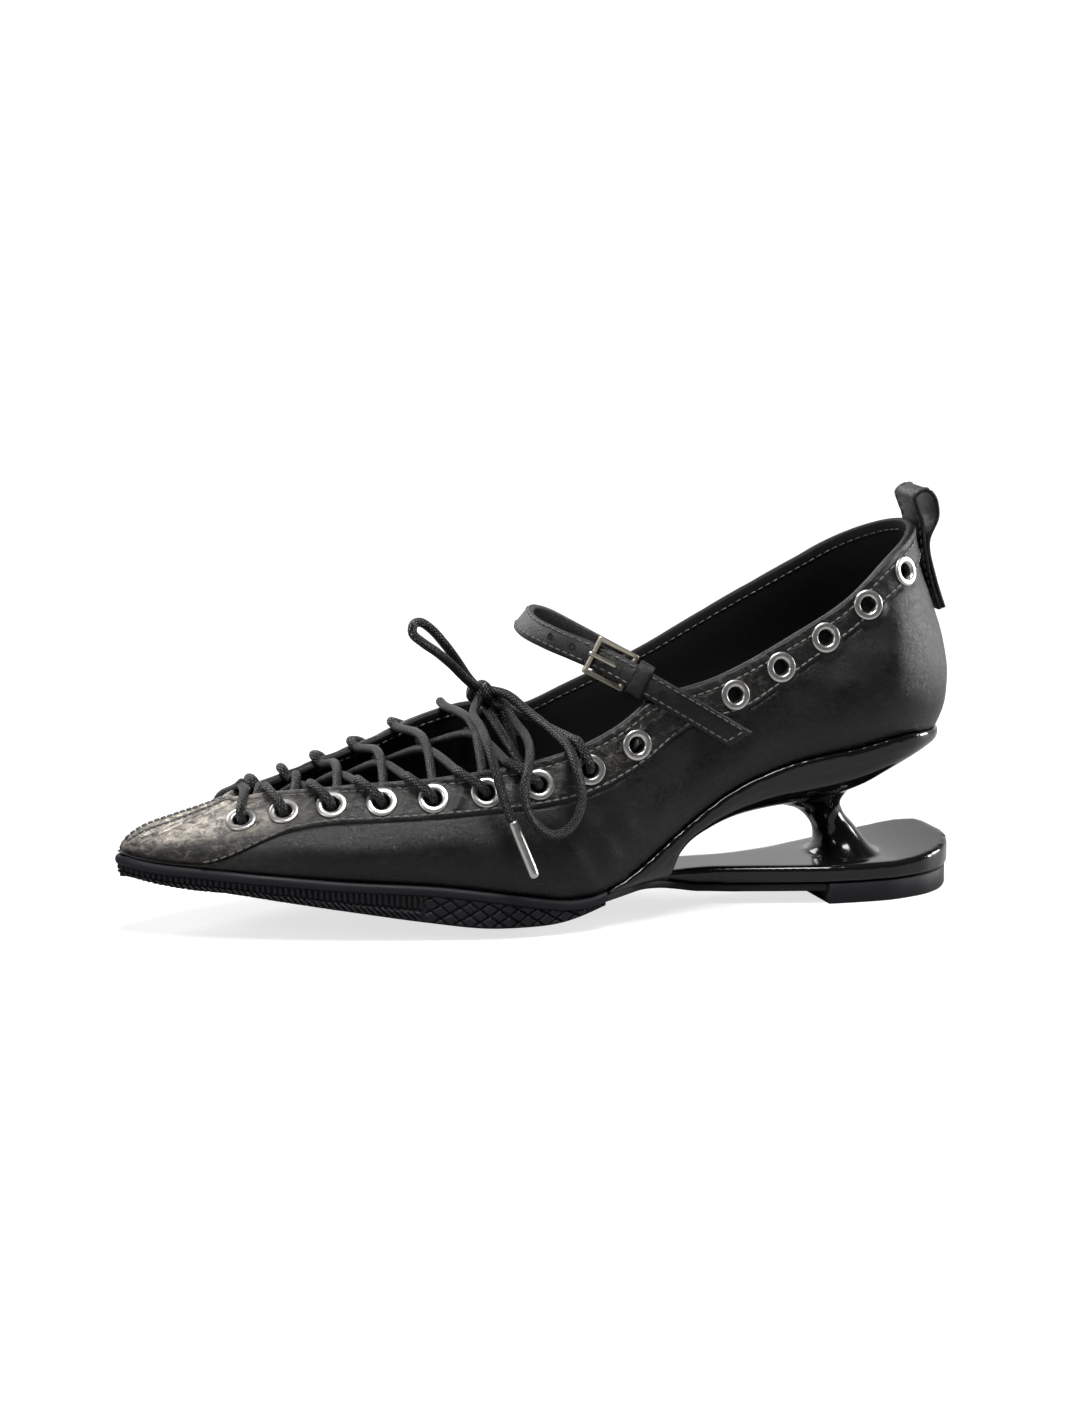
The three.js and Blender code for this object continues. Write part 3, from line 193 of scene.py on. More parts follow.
def values_along(at, run, values):
    """Values of a path's points (three columns) at distances along it."""
    return np.stack([np.interp(at, run, values[:, j]) for j in range(3)], 1)


def station_of(way):
    """Share of the length at a way; ways lie close together towards both ends."""
    return (1 - np.cos(np.pi * way)) / 2


def way_of(station):
    return np.arccos(np.clip(1 - 2 * station, -1, 1)) / np.pi


def seat_way(length):
    """Way at which the feather line lies at a length, by repeated correction."""
    t = length / SHOE_LENGTH
    for _ in range(12):
        t = t + (length - (SHOE_LENGTH * t - SEAT_INSET * t ** 6)) / SHOE_LENGTH
    return way_of(np.clip(t, 0, 1))


def wrapped(way, side):
    """A way past either end goes on along the other side."""
    over = (way < 0) | (way > 1)
    side = np.where(over, -side, side)
    return np.where(way < 0, -way, np.where(way > 1, 2 - way, way)), side


def feather(way, side):
    """Line where the upper meets the sole: half width over the length, closed by quarter circles."""
    way, side = wrapped(way, side)
    t = station_of(way)
    ends = round_end(SHOE_LENGTH * t / NOSE_RADIUS) * round_end(SHOE_LENGTH * (1 - t) / SEAT_RADIUS)
    half = np.where(side < 0, LAST["outer"](way), LAST["inner"](way)) * BALL_WIDTH * ends
    x = SHOE_LENGTH * t - SEAT_INSET * t ** 6
    return np.stack([x, LAST["axis"](way) * BALL_WIDTH + side * half, LAST["seat"](way) * SEAT_HEIGHT], -1)


def topline(way, side):
    """Edge of throat and collar, made in the same way as the feather line."""
    way, side = wrapped(way, side)
    t = station_of(way)
    length = SHOE_LENGTH - THROAT_START - TOPLINE_INSET
    ends = round_end(length * t / THROAT_RADIUS) * round_end(length * (1 - t) / TOPLINE_RADIUS)
    y = LAST["edge_axis"](way) * BALL_WIDTH + side * LAST["edge"](way) * BALL_WIDTH * ends
    share = np.where(side < 0, LAST["edge_outer"](way), LAST["edge_inner"](way))
    return np.stack([THROAT_START + length * t, y, share * TOPLINE_HEIGHT], -1)


def outward(way, side, reach=0.002):
    """Level direction out of the feather line: its run turned by a right angle."""
    way, side = np.broadcast_arrays(np.asarray(way, float), side)
    run = feather(way + reach, side) - feather(way - reach, side)
    out = np.stack([-side * run[..., 1], side * run[..., 0], 0 * way], -1)
    return unit(out)


def skin(way, side, k):
    """Skin of the last: straight from feather line to top line, plus a belly of k(1-k)(1-k) outward."""
    way, side, k = np.broadcast_arrays(np.asarray(way, float), np.asarray(side, float), k)
    low = feather(way, side)
    chord = topline(way, side) - low
    along = unit(chord)
    out = outward(way, side)
    out = unit(out - along * np.sum(out * along, -1, keepdims=True))
    shape = 6.75 * k * (1 - k) ** 2 * LAST["belly"](wrapped(way, side)[0]) * HEEL_BULGE
    return low + chord * k[..., None] + out * shape[..., None]


def skin_normal(way, side, k, reach=0.002):
    """Outward normal from small steps up the wall and along it."""
    way, side, k = np.broadcast_arrays(np.asarray(way, float), np.asarray(side, float), k)
    up = skin(way, side, k + reach) - skin(way, side, k - reach)
    run = skin(way + reach, side, k) - skin(way - reach, side, k)
    return unit(np.cross(up, run)) * np.where(side < 0, -1.0, 1.0)[..., None]


def lifted(way, side, k, lift):
    return skin(way, side, k) + skin_normal(way, side, k) * np.asarray(lift, float)[..., None]


def wall_length(way, side):
    return np.linalg.norm(topline(way, side) - feather(way, side), axis=-1)


def eyelet_row(side, first, final, count, crowding):
    """Eyelet places spaced along the hole line; their plane touches the band at its highest point."""
    ways = np.linspace(way_of(first), way_of(final), 401)
    points = skin(ways, side, LAST["hole"](ways))
    run = lengths_along(points)
    way = np.interp(run[-1] * np.linspace(0, 1, count) ** crowding, run, ways)
    k = LAST["hole"](way)
    face = lifted(way, side, k, np.full(count, BAND_STEP))
    per_way = np.linalg.norm(skin(way + 0.01, side, k) - skin(way, side, k), axis=1) / 0.01
    d_way, d_k = EYELET_RADIUS / per_way, EYELET_RADIUS / wall_length(way, side)
    lift = np.full(count, BAND_STEP)
    ring = [lifted(way + a * d_way, side, k + b * d_k, lift)
            for a, b in ((-1, 0), (1, 0), (0, -1), (0, 1))]
    normal = unit(np.cross(ring[3] - ring[2], ring[1] - ring[0])) * (-1 if side < 0 else 1)
    rise = np.max([np.sum((p - face) * normal, -1) for p in ring], axis=0)
    face = face + normal * np.maximum(rise, 0)[:, None] * 0.6
    grid = np.linspace(0, 1, 2001)
    edge = topline(grid, np.full(2001, float(side)))
    rim = [grid[np.argmin(np.sum((edge - one) ** 2, 1))] for one in face]
    return [dict(way=way[i], side=side, face=face[i], normal=normal[i], rim=rim[i]) for i in range(count)]


FRONT_COUNT, BACK_COUNT = 9, 5
EYELETS = {side: (eyelet_row(side, .061, .538, FRONT_COUNT, 1.08)
                  + eyelet_row(side, .686, .950, BACK_COUNT, 1.0)) for side in (-1, 1)}
SEAM_SHIFT, TOE_SEAM_FADE, TOE_ROW_END = 2.6, (35.0, 31.5), 34.0
PRESS_FADE, PRESS_DEPTH = (7.0, 4.6), 3.5


def seam_middle(way, length):
    """Where the toe seam runs across the shoe: leaves the tip's middle for the outer side."""
    return LAST["axis"](way) * BALL_WIDTH - SEAM_SHIFT * step_up(-4, 16, length)


def toe_seam(way, point):
    """Ridge over the toe with a groove in its middle and one beside it."""
    off = np.abs(point[..., 1] - seam_middle(way, point[..., 0]))
    ridge = SEAM_HEIGHT * np.exp(-(off / 2.2) ** 6) - 0.7 * bell(off, 0.35) - 0.3 * bell(off - 2.6, 0.4)
    return step_up(*TOE_SEAM_FADE, point[..., 0]) * ridge


def puckers(way, side, k, band):
    """Folds of the band between neighbouring eyelets, each with its own height and lean."""
    rise = np.clip((k - band) / (1 - band + 1e-6), 0, 1)
    shape = np.sin(np.pi * np.clip(rise * 1.05, 0, 1)) ** 0.7
    total = 0.0
    for row, eyelets in EYELETS.items():
        on_row = (side == row) & (way > 0.15)
        for n, (one, two) in enumerate(zip(eyelets[:-1], eyelets[1:])):
            if n == FRONT_COUNT - 1:
                continue
            per_way = np.linalg.norm(one["face"] - two["face"]) / (two["way"] - one["way"])
            away = (way - (one["way"] + two["way"]) / 2) * per_way
            amount = (0.62 if n < FRONT_COUNT else 0.34) * (0.8 + 0.35 * np.sin(2.1 * n + row))
            lean = away + 1.6 * (rise - 0.5) * np.sin(1.7 * n)
            fold = bell(lean, 1.7) - 0.45 * bell(lean - 3.1, 1.2) - 0.35 * bell(lean + 3.0, 1.1)
            total = total + on_row * amount * shape * fold
    return total


def soft_folds(side, k, point):
    """Long waves of the wall and the short creases at the waist of the foot."""
    u, z = point[..., 0], point[..., 2]
    wave = 0.22 * np.sin(0.115 * u + 0.05 * z + 1.3 * side) * np.sin(0.071 * u - 0.13 * z)
    wave = wave + 0.10 * np.sin(0.31 * u + 0.22 * z + 2.0) * np.sin(0.17 * u - 0.35 * z + 1.0)
    waist = 0.35 * bell(u - 128, 16) * bell(k - 0.22, 0.3) * np.sin(0.55 * u + 0.35 * z)
    return wave, waist


def upper_lift(way, side, k):
    """Height of the dressed leather over the skin: band step, folded edge, toe seam, puckers and folds."""
    bare_way, bare_side = wrapped(way, side)
    length = wall_length(way, side)
    band = LAST["band"](bare_way)
    over = (k - band) * length
    under_edge = (1 - k) * length
    point = skin(way, side, k)
    lift = BAND_STEP * step_up(-0.35, 0.35, over)
    lift = lift - 0.3 * bell(over + 0.25, 0.45) - 0.16 * bell(over - 1.5, 0.6) * (bare_way > 0.2)
    lift = lift + 0.25 * bell(under_edge - 0.9, 1.1) - 0.28 * bell(under_edge - 2.4, 0.6)
    wave, waist = soft_folds(bare_side, k, point)
    lift = lift + toe_seam(bare_way, point) + puckers(bare_way, bare_side, k, band) + waist
    return lift + wave * step_up(0, 6, length * k) * (1 - 0.6 * step_up(-1, 2, over))


def from_eyelet(points, eyelet):
    """Height over the plane of an eyelet and distance from its axis."""
    off = points - eyelet["face"]
    height = off @ eyelet["normal"]
    return height, np.linalg.norm(off - height[..., None] * eyelet["normal"], axis=-1)


def dressed(way, side, k):
    """Outer face of the leather: lifted skin, pressed flat under each eyelet's flange."""
    way, side, k = np.broadcast_arrays(np.asarray(way, float), np.asarray(side, float), k)
    points = skin(way, side, k) + skin_normal(way, side, k) * upper_lift(way, side, k)[..., None]
    for eyelet in EYELETS[-1] + EYELETS[1]:
        height, radial = from_eyelet(points, eyelet)
        press = step_up(*PRESS_FADE, radial) * (np.abs(height) < PRESS_DEPTH)
        points = points - (press * height)[..., None] * eyelet["normal"]
    return points


def dressed_normal(way, side, k, reach=0.003):
    up = dressed(way, side, k + reach) - dressed(way, side, k - reach)
    run = dressed(way + reach, side, k) - dressed(way - reach, side, k)
    return unit(np.cross(up, run)) * np.where(np.asarray(side) < 0, -1.0, 1.0)[..., None]


# Meshes

def new_piece(name, points, faces, material, stands_for=(), slot=None, uv=None, indices=None, smooth=True):
    """Mesh object at the origin from points in millimetres, riding on the shoe."""
    mesh = bpy.data.meshes.new(name)
    mesh.from_pydata(metres(points).tolist(), [], [list(face) for face in faces])
    materials = material if isinstance(material, (list, tuple)) else [material]
    for one in materials:
        mesh.materials.append(one)
    if indices is not None:
        mesh.polygons.foreach_set("material_index", np.asarray(indices, np.int32))
    if uv is not None:
        layer = mesh.uv_layers.new(name="along")
        loops = np.empty(len(mesh.loops), np.int32)
        mesh.loops.foreach_get("vertex_index", loops)
        layer.data.foreach_set("uv", np.asarray(uv, float)[loops].ravel())
    mesh.polygons.foreach_set("use_smooth", np.full(len(mesh.polygons), smooth))
    mesh.validate()
    mesh.update()
    piece = bpy.data.objects.new(name, mesh)
    bpy.context.scene.collection.objects.link(piece)
    if stands_for:
        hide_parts(*stands_for)
    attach(piece, "root")
    return piece


def grid_faces(rows, columns, wrap_rows=False):
    """Quads between neighbouring rows of a grid of points and all round each row."""
    r, c = np.meshgrid(np.arange(rows if wrap_rows else rows - 1), np.arange(columns), indexing="ij")
    r1, c1 = (r + 1) % rows, (c + 1) % columns
    quads = np.stack([r * columns + c, r * columns + c1, r1 * columns + c1, r1 * columns + c], -1)
    return quads.reshape(-1, 4)


def outward_faces(points, faces):
    """Turns all faces round where the signed volume under the quads is negative."""
    faces = [tuple(face) for face in faces]
    quads = np.array([face for face in faces if len(face) == 4])
    a, b, c, d = (points[quads[:, i]] for i in range(4))
    volume = np.sum(a * np.cross(b, c)) + np.sum(a * np.cross(c, d))
    return [face[::-1] for face in faces] if volume < 0 else faces


def loft(loops):
    """Closed form through equal loops, its two ends closed by one face each."""
    loops = np.asarray(loops, float)
    rows, columns = loops.shape[:2]
    points = loops.reshape(-1, 3)
    faces = [tuple(q) for q in grid_faces(rows, columns)]
    faces.append(tuple(range(columns))[::-1])
    faces.append(tuple(range((rows - 1) * columns, rows * columns)))
    return points, outward_faces(points, faces)


def join_parts(parts):
    """One list of points and faces from several."""
    points, faces, start = [], [], 0
    for part_points, part_faces in parts:
        points.append(part_points)
        faces += [tuple(i + start for i in face) for face in part_faces]
        start += len(part_points)
    return np.concatenate(points), faces


def through(points, spacing):
    """Smooth path: cubic with averaged slopes through the points, laid out again with even spacing."""
    points = np.asarray(points, float)
    chord = np.linalg.norm(np.diff(points, axis=0), axis=1)
    at = np.concatenate([[0], np.cumsum(np.sqrt(np.maximum(chord, 1e-6)))])
    slope = np.gradient(points, at, axis=0)
    fine = np.linspace(0, at[-1], max(40, 14 * len(points)))
    i = np.clip(np.searchsorted(at, fine, side="right") - 1, 0, len(at) - 2)
    step = (at[i + 1] - at[i])[:, None]
    s = ((fine - at[i])[:, None]) / step
    path = hermite(s, points[i], step * slope[i], points[i + 1], step * slope[i + 1])
    run = lengths_along(path)
    count = max(3, int(round(run[-1] / spacing)) + 1)
    even = np.linspace(0, run[-1], count)
    return values_along(even, run, path)


def path_frames(path):
    """Tangents, and normals carried along the path without twist."""
    tangents = unit(np.gradient(path, axis=0))
    normal = np.array([0, 0, 1.0])
    if abs(normal @ tangents[0]) > 0.9:
        normal = np.array([1.0, 0, 0])
    normals = []
    for tangent in tangents:
        normal = normal - tangent * (normal @ tangent)
        normal = normal / np.linalg.norm(normal)
        normals.append(normal)
    return tangents, np.array(normals)


def circle(count):
    """Cosine and sine of evenly spaced angles round a full turn."""
    angle = np.linspace(0, 2 * np.pi, count, endpoint=False)
    return np.stack([np.cos(angle), np.sin(angle)], -1)


def sweep(path, section, normals):
    """Section (points in normal and across direction, one set for each path point) carried along a path."""
    across = np.cross(unit(np.gradient(path, axis=0)), normals)
    return loft(path[:, None] + section[..., :1] * normals[:, None] + section[..., 1:] * across[:, None])


def tube(path, diameter, sides):
    """Round cord along a path with one smaller ring past each end, which rounds it."""
    tangents, normals = path_frames(path)
    past = diameter * 0.18
    path = np.concatenate([path[:1] - tangents[:1] * past, path, path[-1:] + tangents[-1:] * past])
    normals = np.concatenate([normals[:1], normals, normals[-1:]])
    scale = np.concatenate([[0.72], np.ones(len(path) - 2), [0.72]])
    return sweep(path, circle(sides) * diameter / 2 * scale[:, None, None], normals)


def tube_uv(path, sides):
    """Length along the cord in millimetres and turns round it, for its braid."""
    run = lengths_along(path)
    run = np.concatenate([run[:1], run, run[-1:]])
    turn = np.linspace(0, 1, sides, endpoint=False)
    return np.stack(np.broadcast_arrays(run[:, None], turn[None]), -1).reshape(-1, 2)


CORD_SIDES = 14


def cord_piece(name, path, diameter, material, **words):
    """Piece of braided cord with its own map."""
    points, faces = tube(path, diameter, CORD_SIDES)
    return new_piece(name, points, faces, material, uv=tube_uv(path, CORD_SIDES), **words)


def rounded_rectangle(length, width, radius, count=4):
    """Rectangle with rounded corners, as points round its middle."""
    corners = []
    for a, b, first in ((1, 1, 0), (-1, 1, 90), (-1, -1, 180), (1, -1, 270)):
        angle = np.radians(first + np.linspace(0, 90, count))
        centre = np.array([a * (length / 2 - radius), b * (width / 2 - radius)])
        corners.append(centre + radius * np.stack([np.cos(angle), np.sin(angle)], -1))
    return np.concatenate(corners)


# One stitch: share of its length from its middle, share of its radius
STITCH_PROFILE = np.array([(-0.5, 0.25), (-0.38, 0.85), (-0.15, 1.0),
                           (0.15, 1.0), (0.38, 0.85), (0.5, 0.25)])
STITCH_SIDES, STITCH_RISE = 6, 0.15


def stitches(paths, length, pitch, radius):
    """Short rounded threads along each path (points and normals), half sunk in the leather."""
    profile = STITCH_PROFILE * (length, radius)
    turn = circle(STITCH_SIDES)
    corners = len(profile) * STITCH_SIDES
    one_stitch = [tuple(q) for q in grid_faces(len(profile), STITCH_SIDES)]
    one_stitch += [tuple(range(STITCH_SIDES))[::-1], tuple(range(corners - STITCH_SIDES, corners))]
    parts = []
    for path, normals in paths:
        run = lengths_along(path)
        count = int(run[-1] // pitch)
        if count < 1:
            continue
        at = (np.arange(count) + 0.5) * run[-1] / count
        middle, ahead = values_along(at, run, path), values_along(at + 0.4, run, path)
        normal = unit(values_along(at, run, normals))
        along = unit(ahead - middle)
        along[-1] = along[-2] if count > 1 else along[-1]
        normal = unit(normal - along * np.sum(normal * along, -1, keepdims=True))
        across = np.cross(along, normal)
        sunk = middle + normal * radius * STITCH_RISE
        rings = (sunk[:, None, None] + along[:, None, None] * profile[:, :1][None, :, None]
                 + normal[:, None, None] * (profile[:, 1:] * turn[:, 0])[None, :, :, None]
                 + across[:, None, None] * (profile[:, 1:] * turn[:, 1])[None, :, :, None])
        faces = [tuple(i + corners * n for i in face) for n in range(count) for face in one_stitch]
        parts.append((rings.reshape(-1, 3), faces))
    return join_parts(parts)


# Materials

def new_material(name):
    material = bpy.data.materials.new(name)
    material.use_nodes = True
    shader = next(n for n in material.node_tree.nodes if n.type == "BSDF_PRINCIPLED")
    return material, material.node_tree, shader


def node(tree, kind, inputs=None, **settings):
    """New node with its settings and the values or links of its inputs."""
    made = tree.nodes.new(kind)
    for key, value in settings.items():
        setattr(made, key, value)
    for key, value in (inputs or {}).items():
        if isinstance(value, bpy.types.NodeSocket):
            tree.links.new(value, made.inputs[key])
        else:
            made.inputs[key].default_value = value
    return made


def math_node(tree, operation, a, b=0.0):
    return node(tree, "ShaderNodeMath", {0: a, 1: b}, operation=operation).outputs[0]


def product(tree, a, b):
    return math_node(tree, "MULTIPLY", a, b)


def remap(tree, value, low, high, out_low, out_high):
    """Value moved from one range to another and kept inside it."""
    inputs = {0: value, 1: low, 2: high, 3: out_low, 4: out_high}
    return node(tree, "ShaderNodeMapRange", inputs).outputs[0]


def colour_mix(tree, share, one, two):
    """From colour one at 0 to colour two at 1."""
    one, two = ((*colour, 1) if isinstance(colour, tuple) else colour for colour in (one, two))
    return node(tree, "ShaderNodeMix", {0: share, 6: one, 7: two}, data_type="RGBA").outputs[2]


def object_place(tree):
    return node(tree, "ShaderNodeTexCoord").outputs["Object"]


def noise_of(tree, place, scale, detail, **more):
    inputs = {"Vector": place, "Scale": scale, "Detail": detail, **more}
    return node(tree, "ShaderNodeTexNoise", inputs).outputs[0]


def bump_of(tree, strength, distance, height):
    inputs = {"Strength": strength, "Distance": distance, "Height": height}
    return node(tree, "ShaderNodeBump", inputs).outputs[0]


def set_shader(tree, shader, **values):
    """Sets or links the shader's sockets, named with _ for a space."""
    for key, value in values.items():
        socket = shader.inputs[key.replace("_", " ")]
        if isinstance(value, bpy.types.NodeSocket):
            tree.links.new(value, socket)
        else:
            socket.default_value = value


def grain_group():
    """Pebbled leather grain: cells of two sizes with fine noise. Gives a height and a mottle."""
    if "pebbled_grain" in bpy.data.node_groups:
        return bpy.data.node_groups["pebbled_grain"]
    group = bpy.data.node_groups.new("pebbled_grain", "ShaderNodeTree")
    for name, way, kind in (("Vector", "INPUT", "Vector"), ("Scale", "INPUT", "Float"),
                            ("Height", "OUTPUT", "Float"), ("Mottle", "OUTPUT", "Float")):
        group.interface.new_socket(name, in_out=way, socket_type="NodeSocket" + kind)
    given, result = group.nodes.new("NodeGroupInput"), group.nodes.new("NodeGroupOutput")
    place, scale = given.outputs["Vector"], given.outputs["Scale"]
    cells = node(group, "ShaderNodeTexVoronoi", {"Vector": place, "Scale": scale}, feature="SMOOTH_F1")
    finer = node(group, "ShaderNodeTexVoronoi",
                 {"Vector": place, "Scale": product(group, scale, 2.3)}, feature="DISTANCE_TO_EDGE")
    noise = noise_of(group, place, product(group, scale, 0.6), 5.0, Roughness=0.62)
    wide = noise_of(group, place, product(group, scale, 0.06), 3.0)
    edge = remap(group, finer.outputs["Distance"], 0.0, 0.12, 0.0, 0.45)
    mix = math_node(group, "ADD", product(group, cells.outputs["Distance"], -0.6), edge)
    mix = math_node(group, "ADD", mix, product(group, noise, 0.9))
    group.links.new(mix, result.inputs["Height"])
    group.links.new(wide, result.inputs["Mottle"])
    return group


# Pewter: colour of the toe's rub-off finish and of the painted highlight on the toe's top and the band's
# folds
PEWTER_RUB_AND_SHEEN = (0.48, 0.44, 0.385)


def rub_and_sheen_share(tree, place, wrinkle):
    """Share of pewter on the black: the toe's rub-off above a slanted line, weighted towards the toe's top
    as painted highlight, and painted highlight on the eyelet band's folds.
    """
    parts = node(tree, "ShaderNodeSeparateXYZ", {0: place})
    x, z = parts.outputs[0], parts.outputs[2]
    toe = remap(tree, x, (24 - ORIGIN[0]) / 1000, (54 - ORIGIN[0]) / 1000, 1.0, 0.0)
    # Painted highlight: the pewter grows towards the top of the toe, above a slanted line, where the light
    # falls
    raised = product(tree, math_node(tree, "ADD", x, ORIGIN[0] / 1000 - 0.012), 0.17)
    upward = remap(tree, math_node(tree, "SUBTRACT", z, raised), 0.0270, 0.0308, 0.05, 1.0)
    patch = remap(tree, wrinkle, 0.40, 0.62, 0.16, 1.0)
    # Painted highlight: pewter patches on the eyelet band's folds, in place of the light they catch
    band = node(tree, "ShaderNodeAttribute", attribute_name="band").outputs["Fac"]
    band = product(tree, band, remap(tree, wrinkle, 0.50, 0.72, 0.01, 0.24))
    return math_node(tree, "MAXIMUM", product(tree, product(tree, toe, upward), patch), band)


def leather_finish(name, colour, grain, with_rub_and_sheen=False):
    """Black leather: pebbled grain, uneven gloss, faint wear and, on request, the pewter parts: the toe's
    rub-off and painted highlight on the toe's top and the band's folds.
    """
    material, tree, shader = new_material(name)
    place = object_place(tree)
    group = node(tree, "ShaderNodeGroup", node_tree=grain_group())
    tree.links.new(place, group.inputs["Vector"])
    group.inputs["Scale"].default_value = grain
    height, mottle = group.outputs["Height"], group.outputs["Mottle"]
    roughness = remap(tree, mottle, 0.3, 0.7, 0.22, 0.34)
    roughness = math_node(tree, "ADD", roughness, remap(tree, height, -0.2, 0.9, -0.06, 0.08))
    dark = tuple(0.6 * part for part in colour)
    base = colour_mix(tree, remap(tree, mottle, 0.35, 0.65, 0, 1), dark, colour)
    stretched = node(tree, "ShaderNodeMapping", {"Vector": place, "Scale": (300.0, 420.0, 620.0)}).outputs[0]
    wrinkle = noise_of(tree, stretched, 1.0, 6.0, Roughness=0.72, Distortion=0.7)
    wear_and_sheen = product(tree, remap(tree, wrinkle, 0.5, 0.8, 0.0, 1.0), 0.03)
    # On request: pewter for the toe's rub-off and painted highlight on the toe's top and on the band's folds
    if with_rub_and_sheen:
        wear_and_sheen = math_node(tree, "MAXIMUM", wear_and_sheen, rub_and_sheen_share(tree, place, wrinkle))
    height = math_node(tree, "ADD", height, product(tree, wrinkle, 2.2))
    set_shader(tree, shader, Base_Color=colour_mix(tree, wear_and_sheen, base, PEWTER_RUB_AND_SHEEN), Roughness=roughness,
               Normal=bump_of(tree, 0.32, 0.0003, height), Metallic=product(tree, wear_and_sheen, 0.8),
               Specular_IOR_Level=0.30, Coat_Weight=0.0)
    return material


def lining_finish():
    """Matt black lining with a fine nap."""
    material, tree, shader = new_material("black_lining")
    nap = noise_of(tree, object_place(tree), 500.0, 4.0)
    base = colour_mix(tree, nap, (0.003, 0.003, 0.0033), (0.007, 0.007, 0.0075))
    set_shader(tree, shader, Base_Color=base, Roughness=0.62, Normal=bump_of(tree, 0.2, 0.0002, nap),
               Specular_IOR_Level=0.2)
    return material


def gloss_finish():
    """Gloss black moulding with faint ripples and fine marks in its polish."""
    material, tree, shader = new_material("gloss_moulding")
    place = object_place(tree)
    ripple = noise_of(tree, place, 45.0, 2.0)
    marks = noise_of(tree, place, 900.0, 4.0, Roughness=0.7)
    base = colour_mix(tree, ripple, (0.003, 0.003, 0.0033), (0.005, 0.005, 0.0055))
    set_shader(tree, shader, Base_Color=base, Roughness=remap(tree, marks, 0.35, 0.75, 0.10, 0.19),
               Normal=bump_of(tree, 0.08, 0.001, ripple), Specular_IOR_Level=0.4, Coat_Weight=0.1,
               Coat_Roughness=0.06)
    return material


def rubber_finish():
    """Charcoal rubber with a fine matt skin."""
    material, tree, shader = new_material("charcoal_rubber")
    place = object_place(tree)
    fine, wide = noise_of(tree, place, 1400.0, 4.0), noise_of(tree, place, 60.0, 3.0)
    base = colour_mix(tree, wide, (0.0035, 0.0037, 0.0055), (0.0075, 0.008, 0.0115))
    set_shader(tree, shader, Base_Color=base, Roughness=remap(tree, wide, 0.3, 0.7, 0.5, 0.68),
               Normal=bump_of(tree, 0.3, 0.0001, fine), Specular_IOR_Level=0.28)
    return material


def metal_finish(name, dark, light):
    """Satin metal: fine brushed noise in its gloss, slight stain between two tones."""
    material, tree, shader = new_material(name)
    place = object_place(tree)
    brush, stain = noise_of(tree, place, 1600.0, 3.0), noise_of(tree, place, 180.0, 3.0)
    set_shader(tree, shader, Base_Color=colour_mix(tree, stain, dark, light), Metallic=1.0,
               Roughness=remap(tree, brush, 0.3, 0.7, 0.28, 0.36),
               Normal=bump_of(tree, 0.05, 0.00002, brush))
    return material


BRAID_STRANDS, BRAID_PITCH = 4, 2.6


def cord_finish():
    """Round braided waxed cord: two sets of strands wound against each other over the cord's own UV map."""
    material, tree, shader = new_material("braided_cord")
    uv = node(tree, "ShaderNodeUVMap", uv_map="along").outputs[0]
    parts = node(tree, "ShaderNodeSeparateXYZ", {0: uv})
    along = product(tree, parts.outputs[0], 2 * np.pi / BRAID_PITCH)
    around = product(tree, parts.outputs[1], 2 * np.pi * BRAID_STRANDS)
    one, two = (math_node(tree, "ABSOLUTE", math_node(tree, "SINE", math_node(tree, way, along, around)))
                for way in ("ADD", "SUBTRACT"))
    weave = math_node(tree, "ADD", one, two)
    fuzz = noise_of(tree, object_place(tree), 2600.0, 3.0)
    # Painted shade: the braid darker in the grooves between strands, lighter on their crests
    base = colour_mix(tree, remap(tree, weave, 0.3, 1.8, 0, 1),
                      (0.0025, 0.0025, 0.003), (0.008, 0.008, 0.0085))
    # Painted glints: light specks on the highest crests of the braid
    base = colour_mix(tree, remap(tree, weave, 1.72, 1.95, 0, 1), base, (0.10, 0.098, 0.09))
    set_shader(tree, shader, Base_Color=base, Roughness=remap(tree, fuzz, 0.3, 0.7, 0.26, 0.46),
               Normal=bump_of(tree, 0.6, 0.0005, math_node(tree, "ADD", weave, fuzz)),
               Specular_IOR_Level=0.32)
    return material


def thread_finish(name, share):
    """Twisted sewing thread, as bright as the share says: the outer stitches a painted lit copy, the lining
    stitches a painted shaded copy.
    """
    material, tree, shader = new_material(name)
    twist = noise_of(tree, object_place(tree), 2500.0, 2.0)
    dark, light = (tuple(share * part for part in colour)
                   for colour in ((0.03, 0.029, 0.028), (0.12, 0.116, 0.11)))
    set_shader(tree, shader, Base_Color=colour_mix(tree, twist, dark, light), Roughness=0.38,
               Normal=bump_of(tree, 0.4, 0.0001, twist), Specular_IOR_Level=0.6)
    return material


def floor_finish():
    """Grey floor for the light on the shoe; the camera sees it lit up to the white of the studio."""
    material, tree, shader = new_material("pale_floor")
    place = object_place(tree)
    base = colour_mix(tree, noise_of(tree, place, 3.0, 2.0), (0.33, 0.33, 0.33), (0.35, 0.35, 0.35))
    distance = node(tree, "ShaderNodeVectorMath", {0: place}, operation="LENGTH").outputs["Value"]
    seen = node(tree, "ShaderNodeLightPath").outputs["Is Camera Ray"]
    glow = product(tree, seen, remap(tree, distance, 0.5, 1.6, 0.71, 1.0))
    set_shader(tree, shader, Base_Color=base, Roughness=0.6, Specular_IOR_Level=0.1, Emission_Strength=1.0,
               Emission_Color=glow)
    return material


MATERIALS = {}


